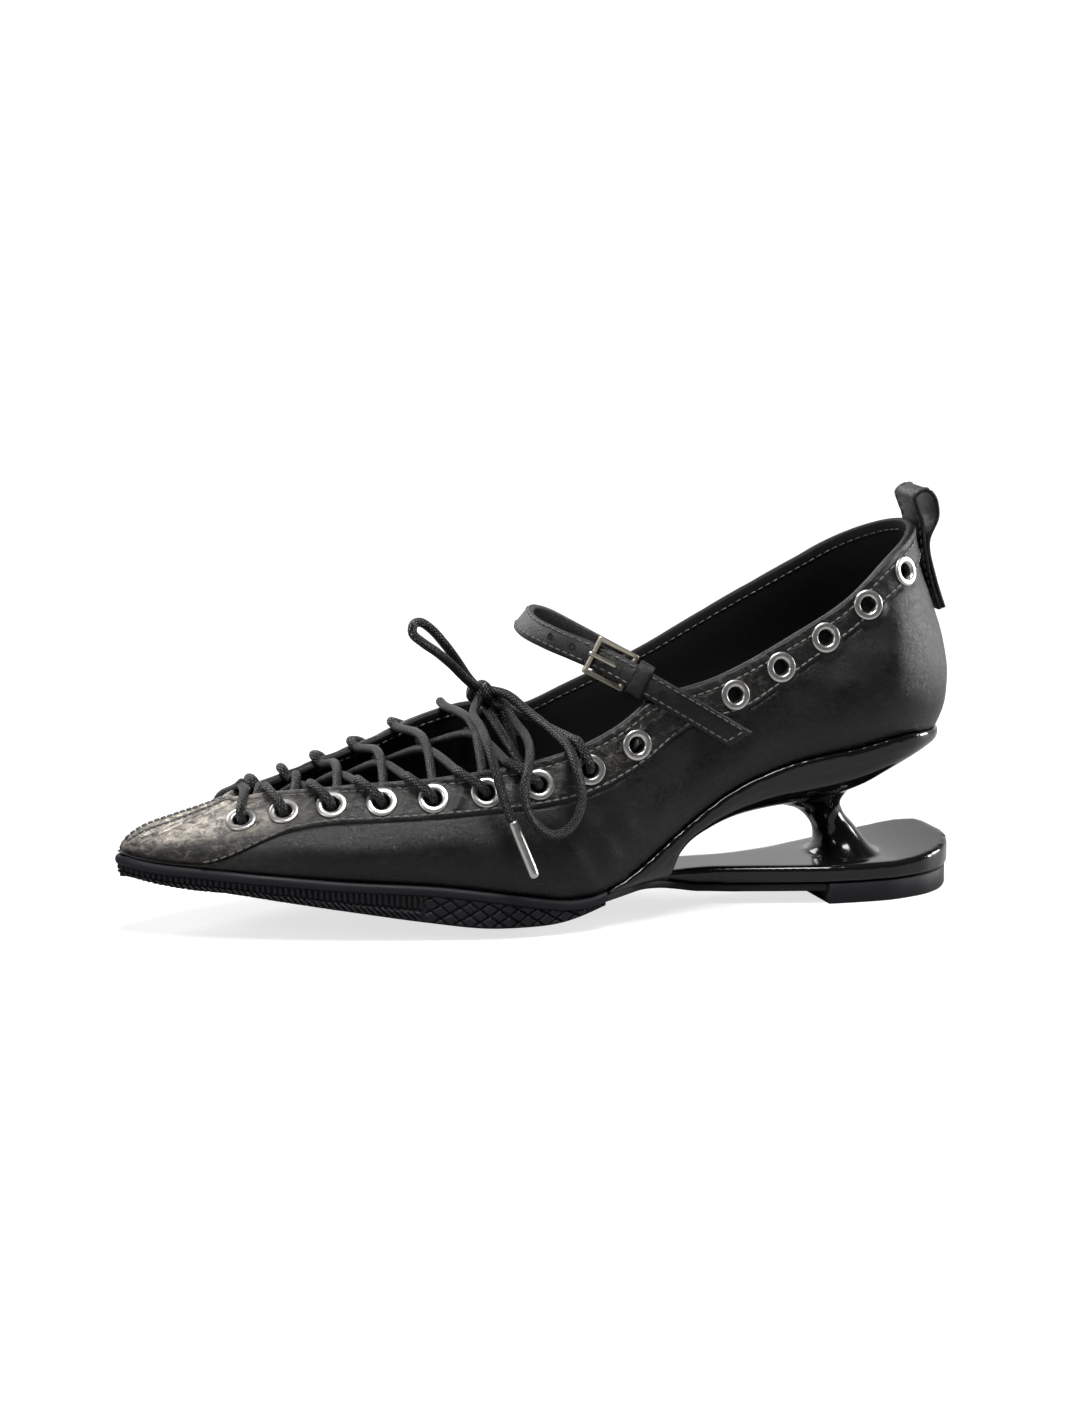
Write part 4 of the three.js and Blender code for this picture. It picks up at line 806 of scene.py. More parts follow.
def finish(name):
    """Each finish is made once and then shared."""
    leather = tuple(bpy.context.scene.heel_colours.leather)
    makers = {
        "upper": lambda: leather_finish("upper_leather", leather, 1400.0, with_rub_and_sheen=True),
        "strap": lambda: leather_finish("strap_leather", leather, 1500.0),
        "lining": lining_finish, "gloss": gloss_finish, "rubber": rubber_finish, "cord": cord_finish,
        "metal": lambda: metal_finish("satin_nickel", (0.52, 0.51, 0.485), (0.62, 0.61, 0.59)),
        "buckle": lambda: metal_finish("champagne_nickel", (0.46, 0.41, 0.34), (0.58, 0.53, 0.45)),
        # Painted light: one black thread, lighter outside as if lit and darker in the lining as painted
        # shade
        "thread": lambda: thread_finish("lit_black_thread", 1.0),
        "shaded_lining_thread": lambda: thread_finish("shaded_lining_thread", 0.25), "floor": floor_finish,
    }
    if name not in MATERIALS:
        MATERIALS[name] = makers[name]()
    return MATERIALS[name]


# Properties

class HeelSizes(bpy.types.PropertyGroup):
    """Sizes of the dressing."""
    lace: FloatProperty(name="Lace", description="Diameter of the round lace", default=0.0028, unit="LENGTH")
    stitch: FloatProperty(name="Stitch", description="Length of one stitch", default=0.0021, unit="LENGTH")
    tip: FloatProperty(name="Lace tip", description="Length of a lace tip", default=0.0175, unit="LENGTH")


class HeelColours(bpy.types.PropertyGroup):
    """Colours of the dressing."""
    leather: FloatVectorProperty(name="Leather", description="Colour of upper and strap", subtype="COLOR",
                                 default=(0.0042, 0.0042, 0.0044), min=0, max=1)


# Upper

COLUMNS, WALL_ROWS, BAND_ROWS, LINING_ROWS = 300, 30, 40, 26
PUNCH_RADIUS, PUNCH_DEPTH, EDGE_ROLL = 3.1, 4.5, 0.9


def around_shoe():
    """Ways and sides of the columns: along the outer side to the heel, back along the inner side."""
    way = np.linspace(0, 1, COLUMNS + 1)
    return np.concatenate([way, way[-2:0:-1]]), np.concatenate([-np.ones(COLUMNS + 1), np.ones(COLUMNS - 1)])


class SHOE_OT_upper(bpy.types.Operator):
    """Lays the upper: outer leather with its band, folds and seams, rolled edge and lining."""
    bl_idname = "shoe.upper"
    bl_label = "Upper"

    def execute(self, context):
        way, side = around_shoe()
        band = LAST["band"](way)
        lower = 1 - (1 - np.linspace(0, 1, WALL_ROWS)) ** 1.5
        upper = np.linspace(0, 1, BAND_ROWS)[1:] ** 0.85
        k_rows = [band * share for share in lower] + [band + (1 - band) * share for share in upper]
        outer = np.stack([dressed(way, side, k) for k in k_rows])
        normal = skin_normal(way, side, np.ones_like(way))
        rise = unit(topline(way, side) - skin(way, side, np.full_like(way, 0.9)))
        middle = (skin(way, side, np.ones_like(way)) - normal * WALL + outer[-1]) / 2
        half = np.linalg.norm(outer[-1] - middle, axis=-1, keepdims=True)
        edge = [middle + normal * half * np.cos(a) + rise * EDGE_ROLL * np.sin(a)
                for a in np.radians([25, 50, 75, 105, 130, 155])]
        inner = np.stack([lifted(way, side, np.full_like(way, k), np.full_like(way, -WALL))
                          for k in np.linspace(1, 0.04, LINING_ROWS)])
        foot = feather(way, side) - outward(way, side) * WALL
        grid = np.concatenate([outer, np.stack(edge), inner, foot[None]])
        rows, columns = grid.shape[:2]
        points = grid.reshape(-1, 3)
        faces = grid_faces(rows, columns, wrap_rows=True)
        row_of = faces[:, 0] // columns
        middle_of = points[faces].mean(1)
        keep = np.ones(len(faces), bool)
        for eyelet in EYELETS[-1] + EYELETS[1]:
            height, radial = from_eyelet(middle_of, eyelet)
            keep &= ~((radial < PUNCH_RADIUS) & (np.abs(height) < PUNCH_DEPTH) & (row_of < len(outer)))
        faces = faces[keep]
        lining = (row_of[keep] >= len(outer) + len(edge) // 2).astype(int)
        piece = new_piece("upper_dress", points, outward_faces(points, faces),
                          [finish("upper"), finish("lining")], stands_for=["upper"],
                          slot="upper_leather", indices=lining)
        # Mask of the eyelet band, weaker towards the heel, that places the painted highlight on the band's
        # folds
        band_sheen_mask = np.zeros((rows, columns))
        wall = wall_length(way, side)
        band_sheen_mask[:len(outer)] = np.stack([step_up(-0.5, 1.5, (k - band) * wall) for k in k_rows])
        band_sheen_mask *= 1 - 0.75 * step_up(0.55, 0.75, way)
        piece.data.attributes.new("band", "FLOAT", "POINT").data.foreach_set("value", band_sheen_mask.ravel())
        return {"FINISHED"}


def dressed_line(side, ways, k_of, inside=False):
    """Path of a seam on the leather and its normals."""
    side = np.full_like(ways, side)
    k = k_of(ways, side)
    if inside:
        normal = skin_normal(ways, side, k)
        return skin(ways, side, k) - normal * (WALL + 0.05), -normal
    return dressed(ways, side, k), dressed_normal(ways, side, k)


EDGE_ROW, BAND_ROW, ROW_PITCH = 2.4, 1.1, 2.6


def below_edge(way, side):
    return 1 - EDGE_ROW / wall_length(way, side)


def over_band(way, side):
    return LAST["band"](way) + BAND_ROW / wall_length(way, side)


def toe_row(offset):
    """Stitch row beside the toe seam: where the wall, height by height, lies at an offset from the seam."""
    way = np.linspace(0.0005, 0.16, 500)
    side, places = np.full_like(way, -1.0), []
    for k in np.linspace(0.10, 0.95, 60):
        line = dressed(way, side, np.full_like(way, k))
        places.append((np.interp(offset, seam_middle(way, line[:, 0]) - line[:, 1], way), k))
    at, k = np.array(places).T
    path, normals = dressed(at, side[:len(at)], k), dressed_normal(at, side[:len(at)], k)
    keep = path[:, 0] < TOE_ROW_END
    return path[keep], normals[keep]


class SHOE_OT_seams(bpy.types.Operator):
    """Sews the upper: edge row, band row and the two rows beside the toe seam."""
    bl_idname = "shoe.seams"
    bl_label = "Upper seams"

    def execute(self, context):
        rows, hidden = [], []
        for side in (-1, 1):
            rows.append(dressed_line(side, np.linspace(0.03, 0.99, 500), below_edge))
            hidden.append(dressed_line(side, np.linspace(0.06, 0.985, 500), below_edge, inside=True))
            rows.append(dressed_line(side, np.linspace(0.175, 0.97, 500), over_band))
        length = context.scene.heel_sizes.stitch * 1000
        toe = stitches([toe_row(-1.3), toe_row(1.3)], 1.8, 1.9, 0.5)
        points, faces = join_parts([stitches(rows, length, ROW_PITCH, 0.33), toe])
        new_piece("upper_stitches", points, faces, finish("thread"), slot="upper_leather")
        points, faces = stitches(hidden, length, ROW_PITCH, 0.3)
        new_piece("lining_stitches", points, faces, finish("shaded_lining_thread"), slot="upper_leather")
        return {"FINISHED"}


# Sole and heel unit

def section_loop(way, rows):
    """Cross-section from rows of distance out of the feather line and height, the same on both halves."""
    halves = []
    for side in (-1.0, 1.0):
        base = feather(way, side)
        reach = 0.8 * abs(base[1] - LAST["axis"](way) * BALL_WIDTH)
        points = base + outward(way, side) * np.maximum(rows[:, :1], -reach)
        points[:, 2] = rows[:, 1]
        halves.append(points)
    return np.concatenate([halves[0], halves[1][::-1]])


RIB_PITCH, DIAMOND_PITCH, TREAD_REACH, SOLE_STEP = 1.7, 5.8, 14.0, 0.32
RIBS_FADE, DIAMONDS_FADE, TOE_DROP = (84.0, 79.0), (127.0, 131.0), 0.9


def side_relief(along, share, height, foot, length):
    """Relief of the sole's side, two rows of ribs, then diamonds, then ribs, and the notches of its foot."""
    front, joint = (float(step_up(*fade, length)) for fade in (RIBS_FADE, DIAMONDS_FADE))
    ribs = 1 - bell((along / RIB_PITCH) % 1 - 0.5, 0.17)
    slanted = 1 - bell(((along + 1.1 * height) / RIB_PITCH) % 1 - 0.5, 0.17)
    row = np.where(share < 0.58, ribs, slanted) * (1 - bell(share - 0.58, 0.06))
    cuts = [bell(1 - np.abs(((along + lean * (height - foot)) / DIAMOND_PITCH) % 1 - 0.5) * 2, 0.12)
            for lean in (1.5, -1.5)]
    diamonds = 1 - np.maximum(*cuts)
    return front * row + (1 - front) * ((1 - joint) * diamonds + joint * ribs), 0.8 * (1 - ribs) * front


def sole_section(way, along):
    """Half section of the sole, out and up: round rim, cut side, rounded foot and grooved tread."""
    length = SHOE_LENGTH * station_of(way)
    top = float(LAST["seat"](way)) * SEAT_HEIGHT - FEATHER_GAP
    base = max(float(LAST["sole"](way)) * SEAT_HEIGHT - TOE_DROP * float(step_up(50, 8, length)), 0.0)
    width = min(float(LAST["outer"](way)), float(LAST["inner"](way))) * BALL_WIDTH
    rise = 3.1 * min(1, 0.8 * width / TREAD_REACH)
    ledge = max(top - 3.0, base + rise + 0.3 * (top - base - rise))
    foot = min(base + rise, ledge - 0.5)
    angle = np.radians(np.linspace(90, -90, 9))
    half = (top - ledge) / 2
    rim = np.stack([0.1 + 1.2 * np.cos(angle), ledge + half + half * np.sin(angle)], -1)
    share = np.linspace(0, 1, 18)
    height = ledge - 0.25 - (ledge - 0.25 - foot - 0.5) * share
    relief, notch = side_relief(along, share, height, foot, length)
    wall = np.stack([-0.6 + 1.35 * relief - 0.15 * share, height], -1)
    corner = np.radians(np.linspace(0, 90, 5))[1:]
    low = np.stack([-0.7 + 0.6 * np.cos(corner), foot + 0.5 - 0.5 * np.sin(corner) + notch], -1)
    inward = np.linspace(-1.5, -TREAD_REACH, 12)
    slope = (inward + 0.7) / (0.7 - TREAD_REACH)
    groove = 0.75 * bell(((along + 0.8 * inward) / DIAMOND_PITCH) % 1 - 0.5, 0.12)
    bottom = np.stack([inward, foot + (base - foot) * slope + groove * (1 - 0.2 * slope)], -1)
    return np.concatenate([rim, wall, low, bottom])


class SHOE_OT_forefoot_sole(bpy.types.Operator):
    """Moulds the forefoot sole: round rim, ribbed and diamond cut side, grooved tread."""
    bl_idname = "shoe.forefoot_sole"
    bl_label = "Forefoot sole"

    def execute(self, context):
        last_way = float(seat_way(SOLE_JOINT))
        fine = np.linspace(0.0, last_way, 3000)
        run = lengths_along(feather(fine, -np.ones_like(fine)))
        ways = np.append(np.interp(np.arange(0, run[-1], SOLE_STEP), run, fine), last_way)
        runs = np.interp(ways, fine, run)
        points, faces = loft([section_loop(way, sole_section(way, along)) for way, along in zip(ways, runs)])
        new_piece("forefoot_sole", points, faces, finish("rubber"),
                  stands_for=["outsole"], slot="sole_rubber")
        return {"FINISHED"}


def plate_outline(length):
    share = length / SHOE_LENGTH
    return -PLATE[0](share) * BALL_WIDTH, PLATE[1](share) * BALL_WIDTH, PLATE[2](share) * PLATE_HEIGHT


def plate_loop(length, bottom, top, inset, bevel):
    """Rectangle across the plate with small bevels."""
    outer, inner, _ = plate_outline(length)
    keep = min(inset, 0.35 * (inner - outer))
    x = length - inset * float(round_end((length - 0.95 * SHOE_LENGTH) / (PLATE_END - 0.95 * SHOE_LENGTH)))
    outer, inner = outer + keep, inner - keep
    b = min(bevel, 0.3 * (inner - outer), 0.4 * (top - bottom))
    across = [outer + b, outer, outer, outer + b, inner - b, inner, inner, inner - b]
    up = [top, top - b, bottom + b, bottom, bottom, bottom + b, top - b, top]
    return np.stack([np.full(8, x), across, up], -1)


def plate_lengths(start, count):
    """Lengths from the start to the round rear end, close together towards the end."""
    s = np.linspace(0, 1, count)
    return start + (PLATE_END - start) * (1 - (1 - s) ** 1.7)


FLANGE_REACH, FLANGE_DEPTH, PLATE_FRONT, FILLET_VOXEL = 0.8, 4.6, 157.0, 0.00075


class SHOE_OT_heel_unit(bpy.types.Operator):
    """Moulds the heel unit in one: flanged seat, waist, column and foot plate, its joints filleted."""
    bl_idname = "shoe.heel_unit"
    bl_label = "Heel unit"

    def execute(self, context):
        points, faces = join_parts([self.seat(), self.plate(), self.column()])
        piece = new_piece("heel_moulding", points, faces, finish("gloss"),
                          stands_for=["heel_unit"], slot="heel_gloss")
        remesh = piece.modifiers.new("blend", "REMESH")
        remesh.mode = "VOXEL"
        remesh.voxel_size = FILLET_VOXEL
        remesh.use_smooth_shade = True
        soften = piece.modifiers.new("soften", "SMOOTH")
        soften.factor = 0.5
        soften.iterations = 7
        depsgraph = bpy.context.evaluated_depsgraph_get()
        mesh = bpy.data.meshes.new_from_object(piece.evaluated_get(depsgraph))
        piece.modifiers.clear()
        piece.data = mesh
        mesh.polygons.foreach_set("use_smooth", np.full(len(mesh.polygons), True))
        return {"FINISHED"}

    def seat(self):
        """Loops across the seat: flange wall, small step, then an elliptic hull down to its keel."""
        window = HULL_ROWS[0, 0] * SHOE_LENGTH
        end = SHOE_LENGTH - SEAT_INSET
        s = np.linspace(0, 1, 90)
        lengths = np.concatenate([np.linspace(SOLE_JOINT + 0.6, window, 36)[:-1], [window - 0.01],
                                  window + 0.3 + (end - window - 0.3) * (1 - (1 - s) ** 1.6)])
        angles = np.radians(np.linspace(0, 84, 12))
        loops = []
        for length in lengths:
            way = float(seat_way(length))
            share = length / SHOE_LENGTH
            top = float(LAST["seat"](way)) * SEAT_HEIGHT - FEATHER_GAP
            front = length < window
            low = float(PLATE[2](share)) * PLATE_HEIGHT if front else float(HULL[0](share)) * SEAT_HEIGHT
            ledge = top - min(FLANGE_DEPTH, 0.45 * (top - low))
            ends = float(round_end((end - length) / SEAT_RADIUS))
            halves = []
            for side in (-1.0, 1.0):
                edge = feather(way, side) + outward(way, side) * FLANGE_REACH
                foot = (-0.04 + side * float(HULL[1](share))) * BALL_WIDTH * ends
                if front:
                    outer, inner, _ = plate_outline(length)
                    foot = outer if side < 0 else inner
                inset = edge[1] - side * min(0.7, 0.2 * abs(edge[1]))
                y = foot + (inset - foot) * np.cos(angles)
                z = ledge - 0.3 - (ledge - 0.3 - low) * np.sin(angles)
                across = [edge[1] - side * 0.3, edge[1], edge[1], edge[1] - side * 0.2, *y, foot]
                up = [top, top - 0.5, ledge + 0.4, ledge, *z, low]
                halves.append(np.stack([np.full(len(up), edge[0]), across, up], -1))
            loops.append(np.concatenate([halves[0], halves[1][::-1]]))
        return loft(loops)

    def plate(self):
        """Bevelled foot plate: its top slopes down into the waist in front and rises at the rear."""
        loops = []
        for length in plate_lengths(PLATE_FRONT, 110):
            bottom, top = plate_outline(length)[2], PLATE_HEIGHT
            if length < 170:
                top = min(top, float(LAST["seat"](float(seat_way(length)))) * SEAT_HEIGHT - 3)
            rear = (length - 0.9 * SHOE_LENGTH) / (PLATE_END - 0.9 * SHOE_LENGTH)
            top += PLATE_RISE * max(rear, 0) ** 1.5
            loops.append(plate_loop(length, bottom, top, 0, 0.6))
        return loft(loops)

    def column(self):
        """Ellipses from the plate up into the seat."""
        up = np.linspace(COLUMN_ROWS[0, 0], COLUMN_ROWS[-1, 0], 50)
        at, across, long, wide = (steady_curve(COLUMN_ROWS[:, 0], COLUMN_ROWS[:, i])(up)[:, None]
                                  for i in (1, 2, 3, 4))
        turn = circle(64)
        x = at * SHOE_LENGTH + turn[:, 0] * long * BALL_WIDTH
        y = (across + turn[:, 1] * wide) * BALL_WIDTH
        return loft(np.stack([x, y, np.broadcast_to(up[:, None] * SEAT_HEIGHT, x.shape)], -1))


WAIST_RUBBER = 2.3


class SHOE_OT_plate_rubber(bpy.types.Operator):
    """Lays the thin rubber under the waist and the lift under the back of the plate."""
    bl_idname = "shoe.plate_rubber"
    bl_label = "Waist rubber and heel lift"

    def execute(self, context):
        loops = []
        for length in np.linspace(SOLE_JOINT + 0.6, LIFT_START - 0.3, 60):
            roof = plate_outline(length)[2] - 0.3
            loops.append(plate_loop(length, roof - WAIST_RUBBER, roof, 1.0, 0.3))
        points, faces = loft(loops)
        new_piece("waist_rubber", points, faces, finish("rubber"),
                  stands_for=["waist_sole"], slot="sole_rubber")
        roof = plate_outline(LIFT_START)[2] - 0.3
        loops = [plate_loop(length, 0.0, roof, 0.5, 0.5) for length in plate_lengths(LIFT_START, 90)]
        points, faces = loft(loops)
        new_piece("heel_top_lift", points, faces, finish("rubber"),
                  stands_for=["heel_lift"], slot="sole_rubber")
        return {"FINISHED"}


SOCK_THICK, SOCK_INSET = 2.3, 2.45


class SHOE_OT_insole(bpy.types.Operator):
    """Lays the insole sock with a soft rounded edge."""
    bl_idname = "shoe.insole"
    bl_label = "Insole"

    def execute(self, context):
        share = np.array([0, 0, .01, .035, .12, .3, .5, .7, .88, .965, .99, 1, 1])[:, None]
        lift = np.array([.3, 1.7, 2.1, 2.28, 2.3, 2.25, 2.2, 2.25, 2.3, 2.28, 2.1, 1.7, .3])
        loops = []
        for way in np.linspace(float(seat_way(9.0)), 1, 220):
            sides = []
            for side in (-1.0, 1.0):
                base, out = feather(way, side), outward(way, side)
                k = SOCK_THICK / (topline(way, side)[2] - base[2])
                lean = max(0.0, float((base - skin(way, side, k)) @ out))
                facing = float(np.clip(skin_normal(way, side, k) @ out, 0.3, 1))
                sides.append(base - out * (lean + SOCK_INSET / facing))
            line = sides[0] + (sides[1] - sides[0]) * share
            line[:, 2] += lift
            loops.append(line)
        points, faces = loft(loops)
        new_piece("insole_sock", points, faces, finish("lining"),
                  stands_for=["insole"], slot="insole_lining")
        return {"FINISHED"}


# Eyelets and lace

class SHOE_OT_eyelets(bpy.types.Operator):
    """Sets the eyelets: turned rings with a domed flange outside and a rolled barrel inside."""
    bl_idname = "shoe.eyelets"
    bl_label = "Eyelets"

    def execute(self, context):
        depth = WALL + BAND_STEP - 0.25
        flange = [(-0.05, 0.05), (0.05, 0.3), (-0.05, 0.58), (-0.3, 0.72), (-0.9, 0.76), (-1.5, 0.74)]
        barrel = [(0.4, 0.64), (0.15, 0.4), (0.03, 0.0), (0.0, -0.6), (0.0, -depth), (0.4, -depth),
                  (0.4, -0.4), (0.85, 0.0)]
        profile = np.array([(EYELET_RADIUS + out, up) for out, up in flange]
                           + [(EYELET_HOLE + out, up) for out, up in barrel])
        turn = circle(40)
        for side, word in ((-1, "outer"), (1, "inner")):
            for n, eyelet in enumerate(EYELETS[side]):
                z = eyelet["normal"]
                x = unit(np.array([1.0, 0, 0]) - z * z[0])
                ring = turn[:, :1] * x + turn[:, 1:] * np.cross(z, x)
                points = (profile[:, :1, None] * ring + profile[:, 1:, None] * z).reshape(-1, 3)
                faces = outward_faces(points, grid_faces(len(profile), len(turn), wrap_rows=True))
                name = f"{word}_{n + 1:02d}"
                new_piece(f"eyelet_ring_{name}", points + eyelet["face"], faces, finish("metal"),
                          stands_for=[f"eyelet_{name}"], slot="trim_metal")
        return {"FINISHED"}


def rim_point(eyelet, out, up, toward=None):
    """Point out of and up from the edge above an eyelet, on request some way toward its neighbour."""
    way = eyelet["rim"] if toward is None else 0.64 * eyelet["rim"] + 0.36 * toward["rim"]
    way, side = np.array([way]), np.array([float(eyelet["side"])])
    rim = skin(way, side, np.array([1.0]))[0]
    rise = unit(rim - eyelet["face"])
    return rim + skin_normal(way, side, np.array([0.999]))[0] * out + rise * up


def over_rim(eyelet, reach, toward=None):
    """Points of a lace from inside the edge over it to the outer face."""
    top = reach + 0.9
    return [rim_point(eyelet, -WALL - 0.2, top, toward), rim_point(eyelet, BAND_STEP + 0.4, top, toward),
            rim_point(eyelet, BAND_STEP + reach + 0.5, -0.6, toward)]


def into_eyelet(eyelet, reach, toward=None):
    """Points of a lace over the flange and through the barrel to the inside."""
    face, normal = eyelet["face"], eyelet["normal"]
    to_rim = unit(rim_point(eyelet, BAND_STEP, 0, toward) - face)
    inside = -WALL - BAND_STEP
    return [face + normal * (1.0 + reach) + to_rim * 3.4, face + normal * (0.5 + reach) + to_rim * 1.1,
            face + normal * 0.2, face + normal * inside, face + normal * (inside - 2.4)]


def crossing(n):
    """Where the two strands from one pair of eyelets to the next cross, above the throat."""
    ends = [rim_point(EYELETS[side][m], 0, 0) for side in (-1, 1) for m in (n, n + 1)]
    return np.mean(ends, axis=0) + np.array([0, 0, 4.0 * n / LACED_PAIRS])


CORD_STEP = 0.8
KNOT = np.array([111.0, 5.0, 65.5])
KNOT_FOOT = KNOT + np.array([1.0, 0, -4.6])


class SHOE_OT_lacing(bpy.types.Operator):
    """Threads the lace: first bar, crossings and the last strands from the knot to the eighth eyelets."""
    bl_idname = "shoe.lacing"
    bl_label = "Lacing"

    def execute(self, context):
        diameter = context.scene.heel_sizes.lace * 1000
        reach = diameter / 2 + 0.15
        cord = dict(diameter=diameter, material=finish("cord"), slot="lace_cord")
        first = {side: EYELETS[side][0] for side in (-1, 1)}
        crown = (rim_point(first[-1], 0, 0) + rim_point(first[1], 0, 0)) / 2
        crown[2] += BAND_STEP + 0.4 + 1.2 * reach
        for start, word in ((-1, "outer"), (1, "inner")):
            snug = reach if start < 0 else 0.2
            path = [crown + (0, 0, 0.4 * start), rim_point(first[start], BAND_STEP + snug, 0),
                    *into_eyelet(first[start], snug)]
            side = start
            for n in range(LACED_PAIRS - 1):
                side = -side
                over = 1 if (n % 2 == 0) == (start < 0) else -1
                near, last = EYELETS[side][n + 1], EYELETS[side][n]
                path += [crossing(n) + (0, 0, 0.5 * diameter * over), *over_rim(near, reach, last),
                         *into_eyelet(near, reach, last)]
            path.append(KNOT_FOOT)
            names = ["lace_crossings"] if start < 0 else []
            cord_piece(f"lacing_{word}", through(path, CORD_STEP), stands_for=names, **cord)
            eyelet = EYELETS[start][LACED_PAIRS]
            path = [KNOT + (1.5, start, -2.0), KNOT_FOOT + (5.0, 6.0 * start, 0.6), *over_rim(eyelet, reach),
                    *into_eyelet(eyelet, reach)]
            cord_piece(f"last_strand_{word}", through(path, CORD_STEP), **cord)
        return {"FINISHED"}


# Middle lines of the bow's loops and ends, from the knot outward
FREE_CORDS = {
    "lace_loop_up": [(109.5, 5.8, 67.2), (106.6, 4.4, 70.2), (102, 2, 76.4), (97, -2, 82.2), (92.5, -4, 87),
                     (88.4, -6, 89.8), (85.6, -8, 89.6), (84.9, -9.6, 87.2), (87.6, -10.5, 84.6),
                     (92.4, -9, 81.2), (98, -5.5, 76.6), (103.6, -1.5, 71.4), (109.3, 3.9, 66.8)],
    "lace_loop_down": [(114, 4.6, 65.4), (116.5, -1, 61.8), (116.8, -8, 58.8), (115.7, -22, 56.6),
                       (113.2, -32.4, 54.2), (109.9, -39.8, 50.1), (108.3, -41.8, 46.5),
                       (108.5, -42.2, 42.1), (110.2, -42.2, 37.3), (113.1, -42.2, 33.7),
                       (116.9, -42.2, 31.7), (120.9, -42.2, 32.6), (124, -42.0, 35.9), (125.8, -41.4, 40.6),
                       (125.7, -40.8, 45.8), (125.1, -39.2, 50.3), (125, -32.4, 55.0), (123.5, -20, 58.4),
                       (120.8, -10, 61.4), (116.4, -1.6, 65.8), (112.3, 3.4, 66.6)],
    "lace_end_outer": [(109.2, 2.9, 64.6), (104, -8, 61.6), (102.4, -20, 60), (100.8, -31.5, 56.6),
                       (101.2, -37.4, 50), (103, -39.4, 42), (104.8, -41, 36.4)],
    "lace_end_inner": [(113.2, 5.8, 64.2), (117.5, 6, 59), (119, 3, 53), (118.5, -3, 47),
                       (117.5, -6.5, 41), (117, -8, 36), (116.8, -8.5, 33)],
}


class SHOE_OT_bow(bpy.types.Operator):
    """Ties the bow: knot wraps, the standing and the hanging loop and two ends with metal tips."""
    bl_idname = "shoe.bow"
    bl_label = "Bow and lace ends"

    def execute(self, context):
        sizes = context.scene.heel_sizes
        diameter = sizes.lace * 1000
        cord = dict(diameter=diameter, material=finish("cord"), slot="lace_cord")
        for name, points in FREE_CORDS.items():
            path = through(points, CORD_STEP)
            tips = []
            if "end" in name:
                tips = [self.tip(name.replace("end", "tip"), path, sizes.tip * 1000)]
            piece = cord_piece(f"{name}_cord", path, stands_for=[name], **cord)
        wraps = np.linspace(0, 2 * np.pi * 2.2, 120)
        axis = unit(np.array([0.75, -0.55, 0.35]))
        across = unit(np.cross(axis, (0, 0, 1)))
        up = np.cross(across, axis)
        path = (KNOT + axis * ((wraps / wraps[-1] - 0.5) * 5.4)[:, None]
                + across * (3.0 * np.cos(wraps))[:, None] + up * (2.5 * np.sin(wraps))[:, None])
        path = through(np.concatenate([[KNOT - axis * 2.2], path[::6], [KNOT + axis * 2.2]]), 0.7)
        cord_piece("knot_wraps", path, stands_for=["lace_knot"], **cord)
        return {"FINISHED"}

    def tip(self, name, path, length):
        """Metal tube crimped at both ends, in line with the cord."""
        along = unit(path[-1] - path[-3])
        share = np.array([0, .02, .05, .1, .16, .2, .8, .9, .95, .98, 1])
        radius = np.array([1.32, 1.45, 1.5, 1.5, 1.42, 1.5, 1.5, 1.48, 1.4, 1.2, 0.7])
        middle = path[-1] + along * (0.2 + share * length)[:, None]
        points, faces = sweep(middle, circle(24) * radius[:, None, None], path_frames(middle)[1])
        return new_piece(f"{name}_metal", points, faces, finish("metal"),
                         stands_for=[name], slot="trim_metal")


# Strap, buckle and pull loop

STRAP_WIDTH, STRAP_THICK = 7.5, 2.0
HOOP_SPAN, HOOP_RISE, HOOP_LENGTH, HOOP_HEIGHT = 31.0, 32.0, 149.0, 74.0
TILT = np.radians(60.0)
ACROSS = np.array([np.cos(TILT), 0, np.sin(TILT)])
FORWARD = np.array([-np.sin(TILT), 0, np.cos(TILT)])
# Strap in the plane of its hoop: across in shares of its span, forward in shares of its rise
STRAP_ROWS = np.array([
    (-1.100, -1.150), (-1.130, -.800), (-1.110, -.400), (-.970, .000), (-.790, .270), (-.460, .700),
    (.030, .960), (.420, .880), (.760, .480), (.985, .050), (1.110, -.350), (1.120, -.700),
])
BUCKLE_AT, BUCKLE_LENGTH, BUCKLE_WIDTH, BUCKLE_BAR = 48.5, 14.8, 13.2, 2.0
KEEPER_LENGTH, TAB_THICK, TAB_COLUMNS = 4.7, 1.2, 16
SEAM_INSET, TAIL_SLANT, HOLE_PLACES = 1.2, 5.0, (31.0, 61.5, 70.5)
EDGE_SEAM = dict(length=1.8, pitch=2.5, radius=0.24)

# Strap by the distance from its tail: sag under its hoop plane, slant of its width in degrees
SAG_ROWS = np.array([
    (0, -3.0, 60), (20, -2.2, 60), (36, -1.6, 60), (48, -1.2, 60), (60, -2.0, 55), (70, -2.8, 46),
    (82, -3.0, 42), (92, -2.6, 46), (102, -1.6, 54), (114, -1.0, 60), (150, -0.6, 60),
], float)


